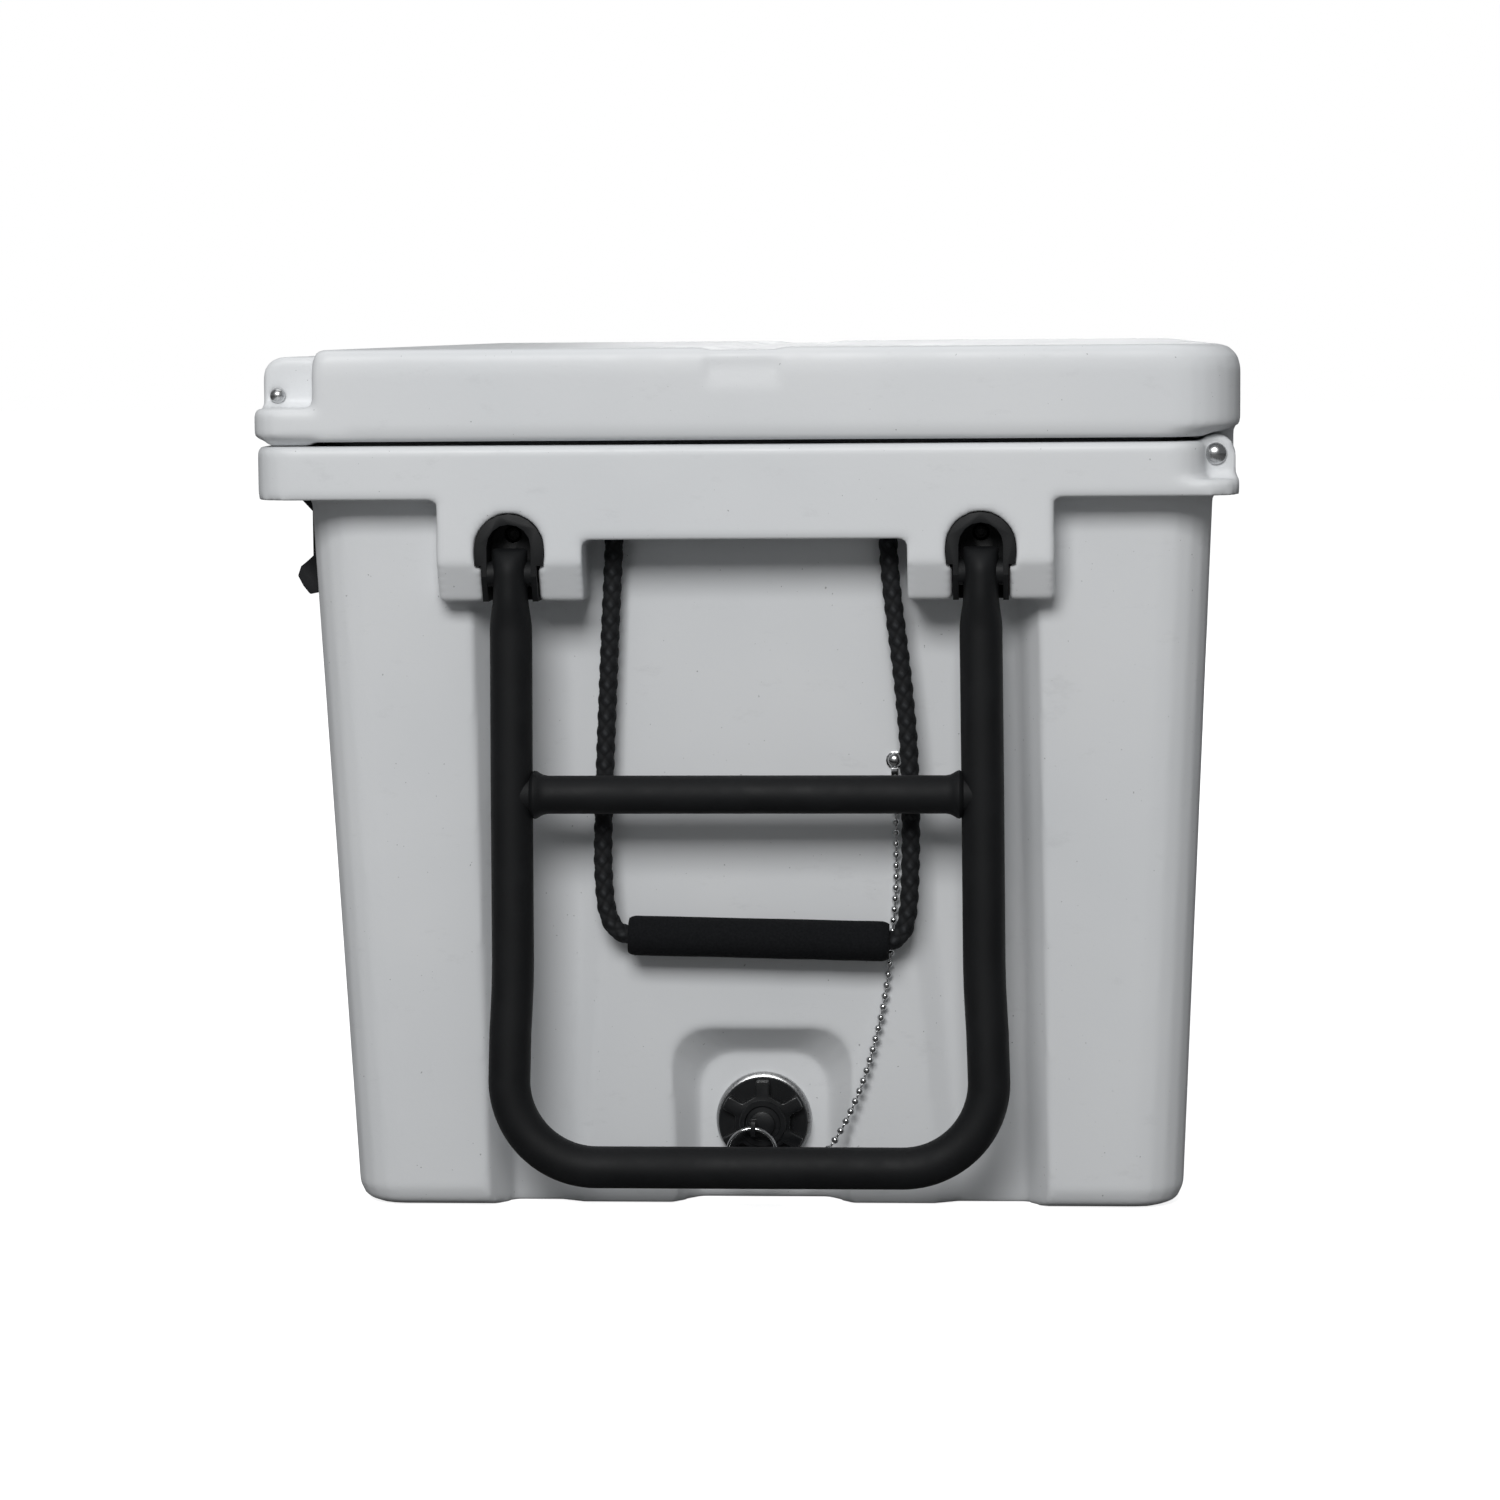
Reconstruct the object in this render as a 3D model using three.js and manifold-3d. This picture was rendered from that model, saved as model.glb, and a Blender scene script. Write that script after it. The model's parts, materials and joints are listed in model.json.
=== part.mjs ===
// A towable, rotomoulded cooler chest, in millimetres, +Z up.
// The tow handle is at the -Y end, the wheels at the +Y end, the latches at -X and the hinge at +X.
// The chest stands on z = 0, and the last lines centre it over the origin.
import * as THREE from 'three';
import { mergeVertices } from 'three/addons/utils/BufferGeometryUtils.js';
import Module from 'manifold-3d';

const wasm = await Module();
wasm.setup();

// ---------------------------------------------------------------- driving dimensions

const GAP = 0.3; // between pieces that touch
const RUN = 0.5; // running clearance of turning pieces
const SKIN = 4; // wall of the moulded shells
const WALL = 45; // outer wall to liner, foam included

// rim of the base, in plan
const LENGTH = 700;
const FRONT_X = -230;
const BACK_X = 230;
const RIM_BACK_X = 214.5; // the rim proper stops short of the hinge ledge
const RIM_TOP = 367;
const RIM_HEIGHT = 25;
const LEDGE_HEIGHT = 7.5;
const RIM_CORNER = 17;

// body below the rim
const BODY_FRONT_X = -209.5; // at the rim
const BODY_BACK_X = 219;
const END_OVERHANG = 22; // rim beyond the end wall, at the rim
const FRONT_TAPER = 16.5; // how far each wall comes in down to the floor
const BACK_TAPER = 13;
const END_TAPER = 11.7;
const BODY_CORNER = 24;
const BOTTOM_EDGE = 9;
const FLOOR_THICKNESS = 26;
const TUB_CORNER = 32;
const TUB_FLOOR_EDGE = 14;

// lid
const LID_GAP = 2; // taken up by the gasket
const LID_THICKNESS = 43;
const LID_FRONT_X = -231;
const LID_BACK_X = 231;
const LID_BLOCK_FRONT_X = -202;
const LID_BACK_CORNER = 30;
const LID_EDGE = 11;
const FLANGE_TOP = 16; // above the lid's underside
const BAND_FRONT_X = -229;
const BAND_TOP = 39.7; // above the lid's underside
const BAND_NOTCH = 28; // bare corner at each end of the band
const BAND_EDGE = 9.4;
const LID_PLUG_DEPTH = 12;
const STRAP_CHANNEL = 36;
const STRAP_DEPTH = 1.2;
const STRAP_FALL = 24;

// gasket
const GASKET_FRONT_X = -200;
const GASKET_BACK_X = 203;
const GASKET_END = 9; // in from the ends of the rim
const GASKET_WIDTH = 9;
const GASKET_GROOVE = 2.5;

// hinge
const HINGE_X = 219;
const HINGE_DROP = 6; // below the rim's top
const KNUCKLE_RADIUS = 9.3;
const KNUCKLE_CLEAR = 0.7;
const HINGE_PIN_RADIUS = 3;
const HINGE_HEAD_RADIUS = 5.2;
const HINGE_FROM_END = 16;
const BASE_KNUCKLE = 22;
const LID_KNUCKLE = 30;

// latches
const LATCH_X = -222;
const LATCH_PIN_UP = 21.5; // above the lid's underside
const LATCH_FROM_END = 88;
const LATCH_WIDTH = 40;
const LATCH_SLOT_CLEAR = 2;
const LATCH_BARREL = 7;
const LATCH_BELOW_RIM = 73; // tip of the pull, below the rim's top
const LATCH_PIN_RADIUS = 2.5;
const LATCH_HEAD_RADIUS = 3.8;
const LATCH_PIN_PAST = 40; // past the far side of the latch

// recess in each end wall, and the pad raised in it
const RECESS_FRONT = [-127.6, -131]; // at the floor, at the shelf
const RECESS_BACK = [142, 137];
const RECESS_DEPTH = 20;
const RECESS_SLOPE = 11;
const PAD_FRONT = [-84, -54];
const PAD_BACK = [89, 60];
const PAD_HEIGHT = 5.5;
const PAD_SLOPE = 13;

// shelf under the rim, with the bosses that carry the tow handle
const SHELF_HALF = 144;
const SHELF_DROP = 19; // below the rim
const BOSS_X = 110;
const BOSS_WIDTH = 68.4;
const BOSS_DROP = 48;
const BOSS_CHAMFER = 18;
const BOSS_SET_BACK = 9;

// tow handle and its pivots
const TOW_TUBE_RADIUS = 10;
const TOW_WALL = 2;
const TOW_PIVOT_IN = 6; // behind the rim's end face
const TOW_PIVOT_DROP = 60; // below the rim's top
const TOW_TIP_HALF = 6.35;
const TOW_TIP_RADIUS = 12;
const TOW_BOTTOM_Z = 26;
const TOW_BEND = 41;
const TOW_FLARE = 3.3;
const TOW_KINK_Z = 112;
const TOW_KINK_OUT = 3;
const CROSSBAR_Z = 203;
const CROSSBAR_RADIUS = 9;
const INSERT_RADIUS = 16.2;
const INSERT_CHEEK = 13;
const INSERT_SLOT = 10.35;
const INSERT_DEPTH = 24.6;
const INSERT_BACK = 5;
const INSERT_ARCH_DROP = 48; // centre of the arch, below the rim's top
const INSERT_COLLAR_DROP = 56;
const PIVOT_PIN_RADIUS = 4;
const INSERT_SCREW_RADIUS = 2;
const INSERT_SCREW_LENGTH = 14;
const INSERT_SCREW_UP = 6; // above the handle's flattened tip

// rope handles
const ROPE_RADIUS = 4.5;
const ROPE_IN = 30; // behind the rim's end face
const ROPE_FRONT_X = -63.4;
const ROPE_BACK_X = 66.3;
const ROPE_PIVOT_DROP = 4.9; // below the shelf
const ROPE_HOLE_DEPTH = 1.5; // the knot's seat above the rim's underside
const KNOT_RADIUS = 8.5;
const GRIP_RADIUS = 9.5;
const GRIP_FRONT = [-58.2, 133];
const GRIP_BACK = [65.8, 130.1];

// drain
const DRAIN_X = 3.8;
const DRAIN_Z = 38.7;
const DRAIN_BORE = 13;
const DRAIN_FLANGE_RADIUS = 23.2;
const DRAIN_FLANGE = 3;
const DRAIN_POCKET_IN = 62; // pocket floor, behind the rim's end face
const POCKET_OUTER_HALF = 42;
const POCKET_INNER_HALF = 31.5;
const POCKET_OUTER_TOP = 85;
const POCKET_INNER_TOP = 72;
const CAP_RADIUS = 21.6;
const CAP_LOBES = 6;
const PLUG_RADIUS = 10;
const NUT_RADIUS = 17;
const NUT_THICKNESS = 6;
const SPLIT_RING_RADIUS = 11.5;
const SPLIT_RING_WIRE = 1;
const CHAIN_RADIUS = 1.6;
const CHAIN_SCREW = [68.6, 215.7];

// wheels
const WHEEL_RADIUS = 72;
const TYRE_WIDTH = 28;
const TYRE_THICKNESS = 16;
const HUB_WIDTH = 30;
const WHEEL_LIFT = 1; // clear of the ground while the chest stands
const WHEEL_FROM_END = 86;
const WELL_CLEAR = 8;
const WELL_FRONT_X = -152;
const WELL_BACK_X = 164;
const AXLE_RADIUS = 8;
const AXLE_IN = 12.5; // into the wall of the well
const WASHER_THICKNESS = 2;
const ARCH_FOAM = 16; // wheel well to liner

// foam filling ports
const PORT_RADIUS = 10;
const PORT_X = 92;
const PORT_Y = 150;
const PORT_SUNK = 0.4; // the plugs sit below the surface

// ---------------------------------------------------------------- places that follow from them

const END = LENGTH / 2;
const RIM_BOTTOM = RIM_TOP - RIM_HEIGHT;
const SHELF_Z = RIM_BOTTOM - SHELF_DROP;
const BOSS_Z = RIM_BOTTOM - BOSS_DROP;
const BODY_END = END - END_OVERHANG;
const LID_Z = RIM_TOP + LID_GAP;
const LID_TOP = LID_Z + LID_THICKNESS;
const HINGE_Z = RIM_TOP - HINGE_DROP;
const LATCH_Z = LID_Z + LATCH_PIN_UP;
const LATCH_Y = END - LATCH_FROM_END;
const LATCH_HALF_SLOT = LATCH_WIDTH / 2 + LATCH_SLOT_CLEAR;
const BAND_END = END - BAND_NOTCH;
const TOW_Y = -(END - TOW_PIVOT_IN);
const TOW_Z = RIM_TOP - TOW_PIVOT_DROP;
const ROPE_Y = END - ROPE_IN;
const ROPE_Z = SHELF_Z - ROPE_PIVOT_DROP;
const WHEEL_Y = END - WHEEL_FROM_END;
const WHEEL_Z = WHEEL_RADIUS + WHEEL_LIFT;
const SCREW_Z = TOW_Z + TOW_TIP_RADIUS + INSERT_SCREW_UP;
const LATCH_PIN_END = LATCH_Y - LATCH_HALF_SLOT - LATCH_PIN_PAST;
const WELL_RADIUS = WHEEL_RADIUS + WELL_CLEAR;
const DRAIN_POCKET_Y = END - DRAIN_POCKET_IN;

// ---------------------------------------------------------------- finishes

const finish = (color, roughness, metalness) => new THREE.MeshStandardMaterial({ color, roughness, metalness });
const whitePlastic = finish(0xdfe3e6, 0.45, 0);
const foam = finish(0xe6dcae, 0.9, 0);
const blackRubber = finish(0x1d1f22, 0.8, 0);
const blackPlastic = finish(0x18191b, 0.45, 0);
const blackPaint = finish(0x17191c, 0.4, 0.3);
const steel = finish(0xb9bcc0, 0.25, 1);
const ropeBraid = finish(0x202327, 0.85, 0);
const foamGrip = finish(0x1b1c1e, 0.95, 0);

// ---------------------------------------------------------------- shape helpers

const X_AXIS = new THREE.Vector3(1, 0, 0);
const Y_AXIS = new THREE.Vector3(0, 1, 0);
const Z_AXIS = new THREE.Vector3(0, 0, 1);
const AXES = { x: [Y_AXIS, Z_AXIS, X_AXIS], y: [Z_AXIS, X_AXIS, Y_AXIS], z: [X_AXIS, Y_AXIS, Z_AXIS] };

/** Turns a closed three.js geometry into a solid that can be joined and cut. */
function solid(geometry) {
  geometry.deleteAttribute('normal');
  geometry.deleteAttribute('uv');
  const merged = mergeVertices(geometry, 1e-4);
  return new wasm.Manifold(new wasm.Mesh({
    numProp: 3,
    vertProperties: new Float32Array(merged.attributes.position.array),
    triVerts: new Uint32Array(merged.index.array),
  }));
}

/** Turns a solid back into a geometry. */
function surface(body) {
  const mesh = body.getMesh();
  const geometry = new THREE.BufferGeometry();
  geometry.setAttribute('position', new THREE.BufferAttribute(new Float32Array(mesh.vertProperties), 3));
  geometry.setIndex(new THREE.BufferAttribute(new Uint32Array(mesh.triVerts), 1));
  return geometry;
}

const join = (...bodies) => bodies.reduce((a, b) => a.add(b));
const cut = (body, ...tools) => tools.reduce((a, b) => a.subtract(b), body);

function box(x0, x1, y0, y1, z0, z1) {
  const geometry = new THREE.BoxGeometry(x1 - x0, y1 - y0, z1 - z0);
  return solid(geometry.translate((x0 + x1) / 2, (y0 + y1) / 2, (z0 + z1) / 2));
}

/** A cylinder along an axis, from one coordinate to another; centre holds its other two coordinates. */
function cylinder(axis, radius, from, to, centre, sides = 20) {
  return lathe(axis, [[0, from], [radius, from], [radius, to], [0, to]], centre, sides);
}

/** A turned piece: profile holds [radius, distance along the axis], going up the outside. */
function lathe(axis, profile, centre, sides = 24) {
  const geometry = new THREE.LatheGeometry(profile.map(([r, h]) => new THREE.Vector2(r, h)), sides);
  // the lathe turns about its own Y, which becomes the axis asked for
  const [u, v, w] = AXES[axis];
  geometry.applyMatrix4(new THREE.Matrix4().makeBasis(u, w, v.clone().negate()));
  const place = new THREE.Vector3();
  const others = { x: ['y', 'z'], y: ['x', 'z'], z: ['x', 'y'] }[axis];
  place[others[0]] = centre[0];
  place[others[1]] = centre[1];
  return solid(geometry.translate(place.x, place.y, place.z));
}

/** A flat outline drawn in X and Z, run along Y. */
function alongY(points, from, to) {
  const geometry = new THREE.ExtrudeGeometry(outline(points), { depth: to - from, bevelEnabled: false });
  geometry.applyMatrix4(new THREE.Matrix4().makeBasis(X_AXIS, Z_AXIS, Y_AXIS.clone().negate()));
  return solid(geometry.translate(0, to, 0));
}

/** A flat outline drawn in Y and Z, run along X. */
function alongX(points, from, to) {
  const geometry = new THREE.ExtrudeGeometry(outline(points), { depth: to - from, bevelEnabled: false });
  geometry.applyMatrix4(new THREE.Matrix4().makeBasis(Y_AXIS, Z_AXIS, X_AXIS));
  return solid(geometry.translate(from, 0, 0));
}

const outline = (points) => new THREE.Shape(points.map(([a, b]) => new THREE.Vector2(a, b)));

/** Points of an arc, in degrees. */
function arc(cx, cy, radius, from, to, steps) {
  return Array.from({ length: steps + 1 }, (_, i) => {
    const a = THREE.MathUtils.degToRad(from + ((to - from) * i) / steps);
    return [cx + radius * Math.cos(a), cy + radius * Math.sin(a)];
  });
}

/** A level ring with rounded corners: radii of the front pair and of the back pair. */
function ring(x0, x1, y0, y1, z, frontCorner, backCorner, steps = 5) {
  const f = frontCorner;
  const b = backCorner;
  return [
    ...arc(x1 - b, y1 - b, b, 0, 90, steps),
    ...arc(x0 + f, y1 - f, f, 90, 180, steps),
    ...arc(x0 + f, y0 + f, f, 180, 270, steps),
    ...arc(x1 - b, y0 + b, b, 270, 360, steps),
  ].map(([x, y]) => [x, y, z]);
}

/** A solid through rings of as many points each, counter-clockwise about the way they follow each other. */
function loft(rings) {
  const n = rings[0].length;
  const index = [];
  for (let r = 0; r + 1 < rings.length; r += 1) {
    for (let i = 0; i < n; i += 1) {
      const a = r * n + i;
      const b = r * n + ((i + 1) % n);
      index.push(a, b, b + n, a, b + n, a + n);
    }
  }
  const last = (rings.length - 1) * n;
  for (let i = 1; i + 1 < n; i += 1) {
    index.push(0, i + 1, i, last, last + i, last + i + 1);
  }
  const geometry = new THREE.BufferGeometry();
  geometry.setAttribute('position', new THREE.Float32BufferAttribute(rings.flat(2), 3));
  geometry.setIndex(index);
  return solid(geometry);
}

/** A tube along a smooth curve. */
function tube(curve, radius, sides, steps) {
  const section = new THREE.Shape(arc(0, 0, radius, 0, 360 - 360 / sides, sides - 1)
    .map(([a, b]) => new THREE.Vector2(a, b)));
  return solid(new THREE.ExtrudeGeometry(section, { extrudePath: curve, steps, bevelEnabled: false }));
}

const mirrorY = (body) => body.mirror([0, 1, 0]);

const chest = new THREE.Group();

function add(name, body, material) {
  const mesh = new THREE.Mesh(surface(body), material);
  mesh.name = name;
  chest.add(mesh);
}

// ---------------------------------------------------------------- the walls of the chest

/** How far down the taper a height is: 0 at the rim, 1 at the floor. */
const taper = (z) => (RIM_BOTTOM - z) / RIM_BOTTOM;
const wallEnd = (z) => BODY_END - END_TAPER * taper(z);
/** The face of the pad in the -Y recess. */
const padFace = (z) => -(wallEnd(z) - RECESS_DEPTH + PAD_HEIGHT);
const CHAIN_SEAT = padFace(CHAIN_SCREW[1]);

/** One level of the body, drawn in by an inset. */
function bodyRing(z, inset) {
  const t = taper(z);
  const end = wallEnd(z) - inset;
  const corner = Math.max(BODY_CORNER - inset, 4);
  return ring(
    BODY_FRONT_X + FRONT_TAPER * t + inset, BODY_BACK_X - BACK_TAPER * t - inset, -end, end, z, corner, corner,
  );
}

/** One level of the liner, drawn in by an inset, or let out where that is negative. */
function tubRing(z, inset) {
  const t = taper(z);
  const end = wallEnd(z) - WALL - inset;
  const corner = TUB_CORNER - inset;
  return ring(
    BODY_FRONT_X + FRONT_TAPER * t + WALL + inset, BODY_BACK_X - BACK_TAPER * t - WALL - inset,
    -end, end, z, corner, corner,
  );
}

const EDGE_45 = 1 - Math.SQRT1_2;
const outerBody = loft([
  bodyRing(0, BOTTOM_EDGE), bodyRing(BOTTOM_EDGE * EDGE_45, BOTTOM_EDGE * EDGE_45), bodyRing(BOTTOM_EDGE, 0),
  bodyRing(RIM_BOTTOM + 3, 0),
]);

/** The liner's space, let out by a skin. */
function tubSpace(out) {
  const z = FLOOR_THICKNESS - out;
  const e = TUB_FLOOR_EDGE;
  const open = loft([
    tubRing(z, e - out), tubRing(z + e * EDGE_45, e * EDGE_45 - out), tubRing(z + e, -out), tubRing(RIM_TOP + 5, -out),
  ]);
  const inner = ARCH_FOAM - out;
  const archTop = WHEEL_Z + WELL_RADIUS + inner;
  const archY = WHEEL_Y - WELL_RADIUS - inner;
  const sump = box(
    DRAIN_X - NUT_RADIUS - 3 - out, DRAIN_X + NUT_RADIUS + 3 + out,
    -(wallEnd(DRAIN_Z) - WALL + 1.5) - out, -(wallEnd(DRAIN_Z) - WALL - 34) + out,
    DRAIN_Z - NUT_RADIUS - 2 - out, DRAIN_Z + NUT_RADIUS + 3 + out,
  );
  return join(cut(
    open,
    box(-END, WELL_FRONT_X + inner, archY, END, -1, archTop),
    box(WELL_BACK_X - inner, END, archY, END, -1, archTop),
  ), sump);
}

/** The recess of the -Y end wall with the pad raised in it, up to a height; out widens it by a skin. */
function endRecess(out, top = SHELF_Z + 2) {
  const levels = [-1, top];
  const at = (pair, z) => pair[0] + ((pair[1] - pair[0]) * z) / SHELF_Z;
  const hollow = loft(levels.map((z) => {
    const wall = -wallEnd(z);
    const bed = wall + RECESS_DEPTH + out;
    const x0 = at(RECESS_FRONT, z) - out;
    const x1 = at(RECESS_BACK, z) + out;
    return [
      [x0 - 4, wall - 8, z], [x1 + 4, wall - 8, z], [x1, wall, z],
      [x1 - RECESS_SLOPE, bed, z], [x0 + RECESS_SLOPE, bed, z], [x0, wall, z],
    ];
  }));
  const pad = loft(levels.map((z) => {
    const bed = -wallEnd(z) + RECESS_DEPTH + out;
    const x0 = at(PAD_FRONT, z) + out;
    const x1 = at(PAD_BACK, z) - out;
    return [
      [x0, bed - PAD_HEIGHT, z], [x1, bed - PAD_HEIGHT, z],
      [x1 + PAD_SLOPE, bed + 1, z], [x0 - PAD_SLOPE, bed + 1, z],
    ];
  }));
  return cut(hollow, pad);
}

/** The arched pocket round the drain, open at the bottom; out widens it by a skin. */
function drainPocket(out) {
  const arch = (half, top, y) => [
    [DRAIN_X - half, y, -1],
    [DRAIN_X + half, y, -1],
    ...arc(DRAIN_X + half - 18, top - 18, 18, 0, 90, 4).map(([x, z]) => [x, y, z]),
    ...arc(DRAIN_X - half + 18, top - 18, 18, 90, 180, 4).map(([x, z]) => [x, y, z]),
  ];
  const mouth = wallEnd(0) - RECESS_DEPTH + PAD_HEIGHT;
  const slope = (POCKET_OUTER_HALF - POCKET_INNER_HALF) / (mouth - DRAIN_POCKET_Y);
  const past = 12;
  return loft([
    arch(POCKET_INNER_HALF + out, POCKET_INNER_TOP + out, -(DRAIN_POCKET_Y - out)),
    arch(POCKET_OUTER_HALF + past * slope + out, POCKET_OUTER_TOP + past * slope + out, -(mouth + past)),
  ]);
}

/** The wheel well at one side; out widens it by a skin. */
function wheelWell(side, out) {
  const inner = side < 0 ? WELL_FRONT_X + out : WELL_BACK_X - out;
  const outer = side * END;
  const [x0, x1] = side < 0 ? [outer, inner] : [inner, outer];
  return join(
    cylinder('x', WELL_RADIUS + out, x0, x1, [WHEEL_Y, WHEEL_Z], 22),
    box(x0, x1, WHEEL_Y - WELL_RADIUS - out, END + 20, -5, WHEEL_Z),
  );
}

/** The space between shell and liner; shrink leaves a clearance round the foam that fills it. */
function foamSpace(shrink) {
  const skin = SKIN + shrink;
  const inside = join(
    loft([
      bodyRing(skin, BOTTOM_EDGE + SKIN + shrink), bodyRing(skin + BOTTOM_EDGE, skin),
      bodyRing(RIM_BOTTOM - SKIN - shrink, skin),
    ]),
    box(
      BODY_FRONT_X + SKIN + 1.5 + shrink, RIM_BACK_X - 10 - shrink,
      -(BODY_END - 28) + shrink, BODY_END - 28 - shrink,
      RIM_BOTTOM - 20, RIM_TOP - SKIN - shrink,
    ),
  );
  return cut(
    inside, tubSpace(skin), endRecess(skin, RIM_TOP), mirrorY(endRecess(skin, RIM_TOP)), drainPocket(skin),
    wheelWell(-1, skin), wheelWell(1, skin),
    cylinder('y', DRAIN_BORE + 5 + shrink, -END, -150, [DRAIN_X, DRAIN_Z]),
    cylinder('y', 5 + shrink, CHAIN_SEAT - 5, CHAIN_SEAT + 13 + shrink, CHAIN_SCREW, 12),
    ...[-1, 1].map((side) => axleSocket(side, 6 + shrink)),
  );
}

/** The blind bore of a stub axle, let out. */
function axleSocket(side, out) {
  const face = side < 0 ? WELL_FRONT_X : WELL_BACK_X;
  const ends = [face + side, face - side * (AXLE_IN + out)];
  return cylinder('x', AXLE_RADIUS + out, Math.min(...ends), Math.max(...ends), [WHEEL_Y, WHEEL_Z]);
}

// ---------------------------------------------------------------- base shell

/** A knuckle of the hinge, with the block that joins it to its shell. */
function knuckle(from, to, radius, z0, z1) {
  return join(
    cylinder('y', radius, from, to, [HINGE_X, HINGE_Z], 18),
    box(HINGE_X - radius, HINGE_X + radius, from, to, z0, z1),
  );
}

// where each of the three hinges starts along Y
const HINGE_SPAN = 2 * BASE_KNUCKLE + LID_KNUCKLE + 2 * RUN;
const HINGE_STARTS = {
  near: -(END - HINGE_FROM_END),
  middle: -HINGE_SPAN / 2,
  far: END - HINGE_FROM_END - HINGE_SPAN,
};

/** Outline of the pocket and insert that carry one end of the tow handle. */
function pivotOutline(x, out) {
  const archZ = RIM_TOP - INSERT_ARCH_DROP;
  const collarZ = RIM_TOP - INSERT_COLLAR_DROP;
  const r = INSERT_RADIUS + out;
  const cheek = INSERT_CHEEK + out;
  return [
    [x - cheek, BOSS_Z - out * 4],
    [x + cheek, BOSS_Z - out * 4],
    [x + cheek, collarZ - out],
    [x + r, collarZ - out],
    ...arc(x, archZ, r, 0, 180, 10),
    [x - r, collarZ - out],
    [x - cheek, collarZ - out],
  ];
}

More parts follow.
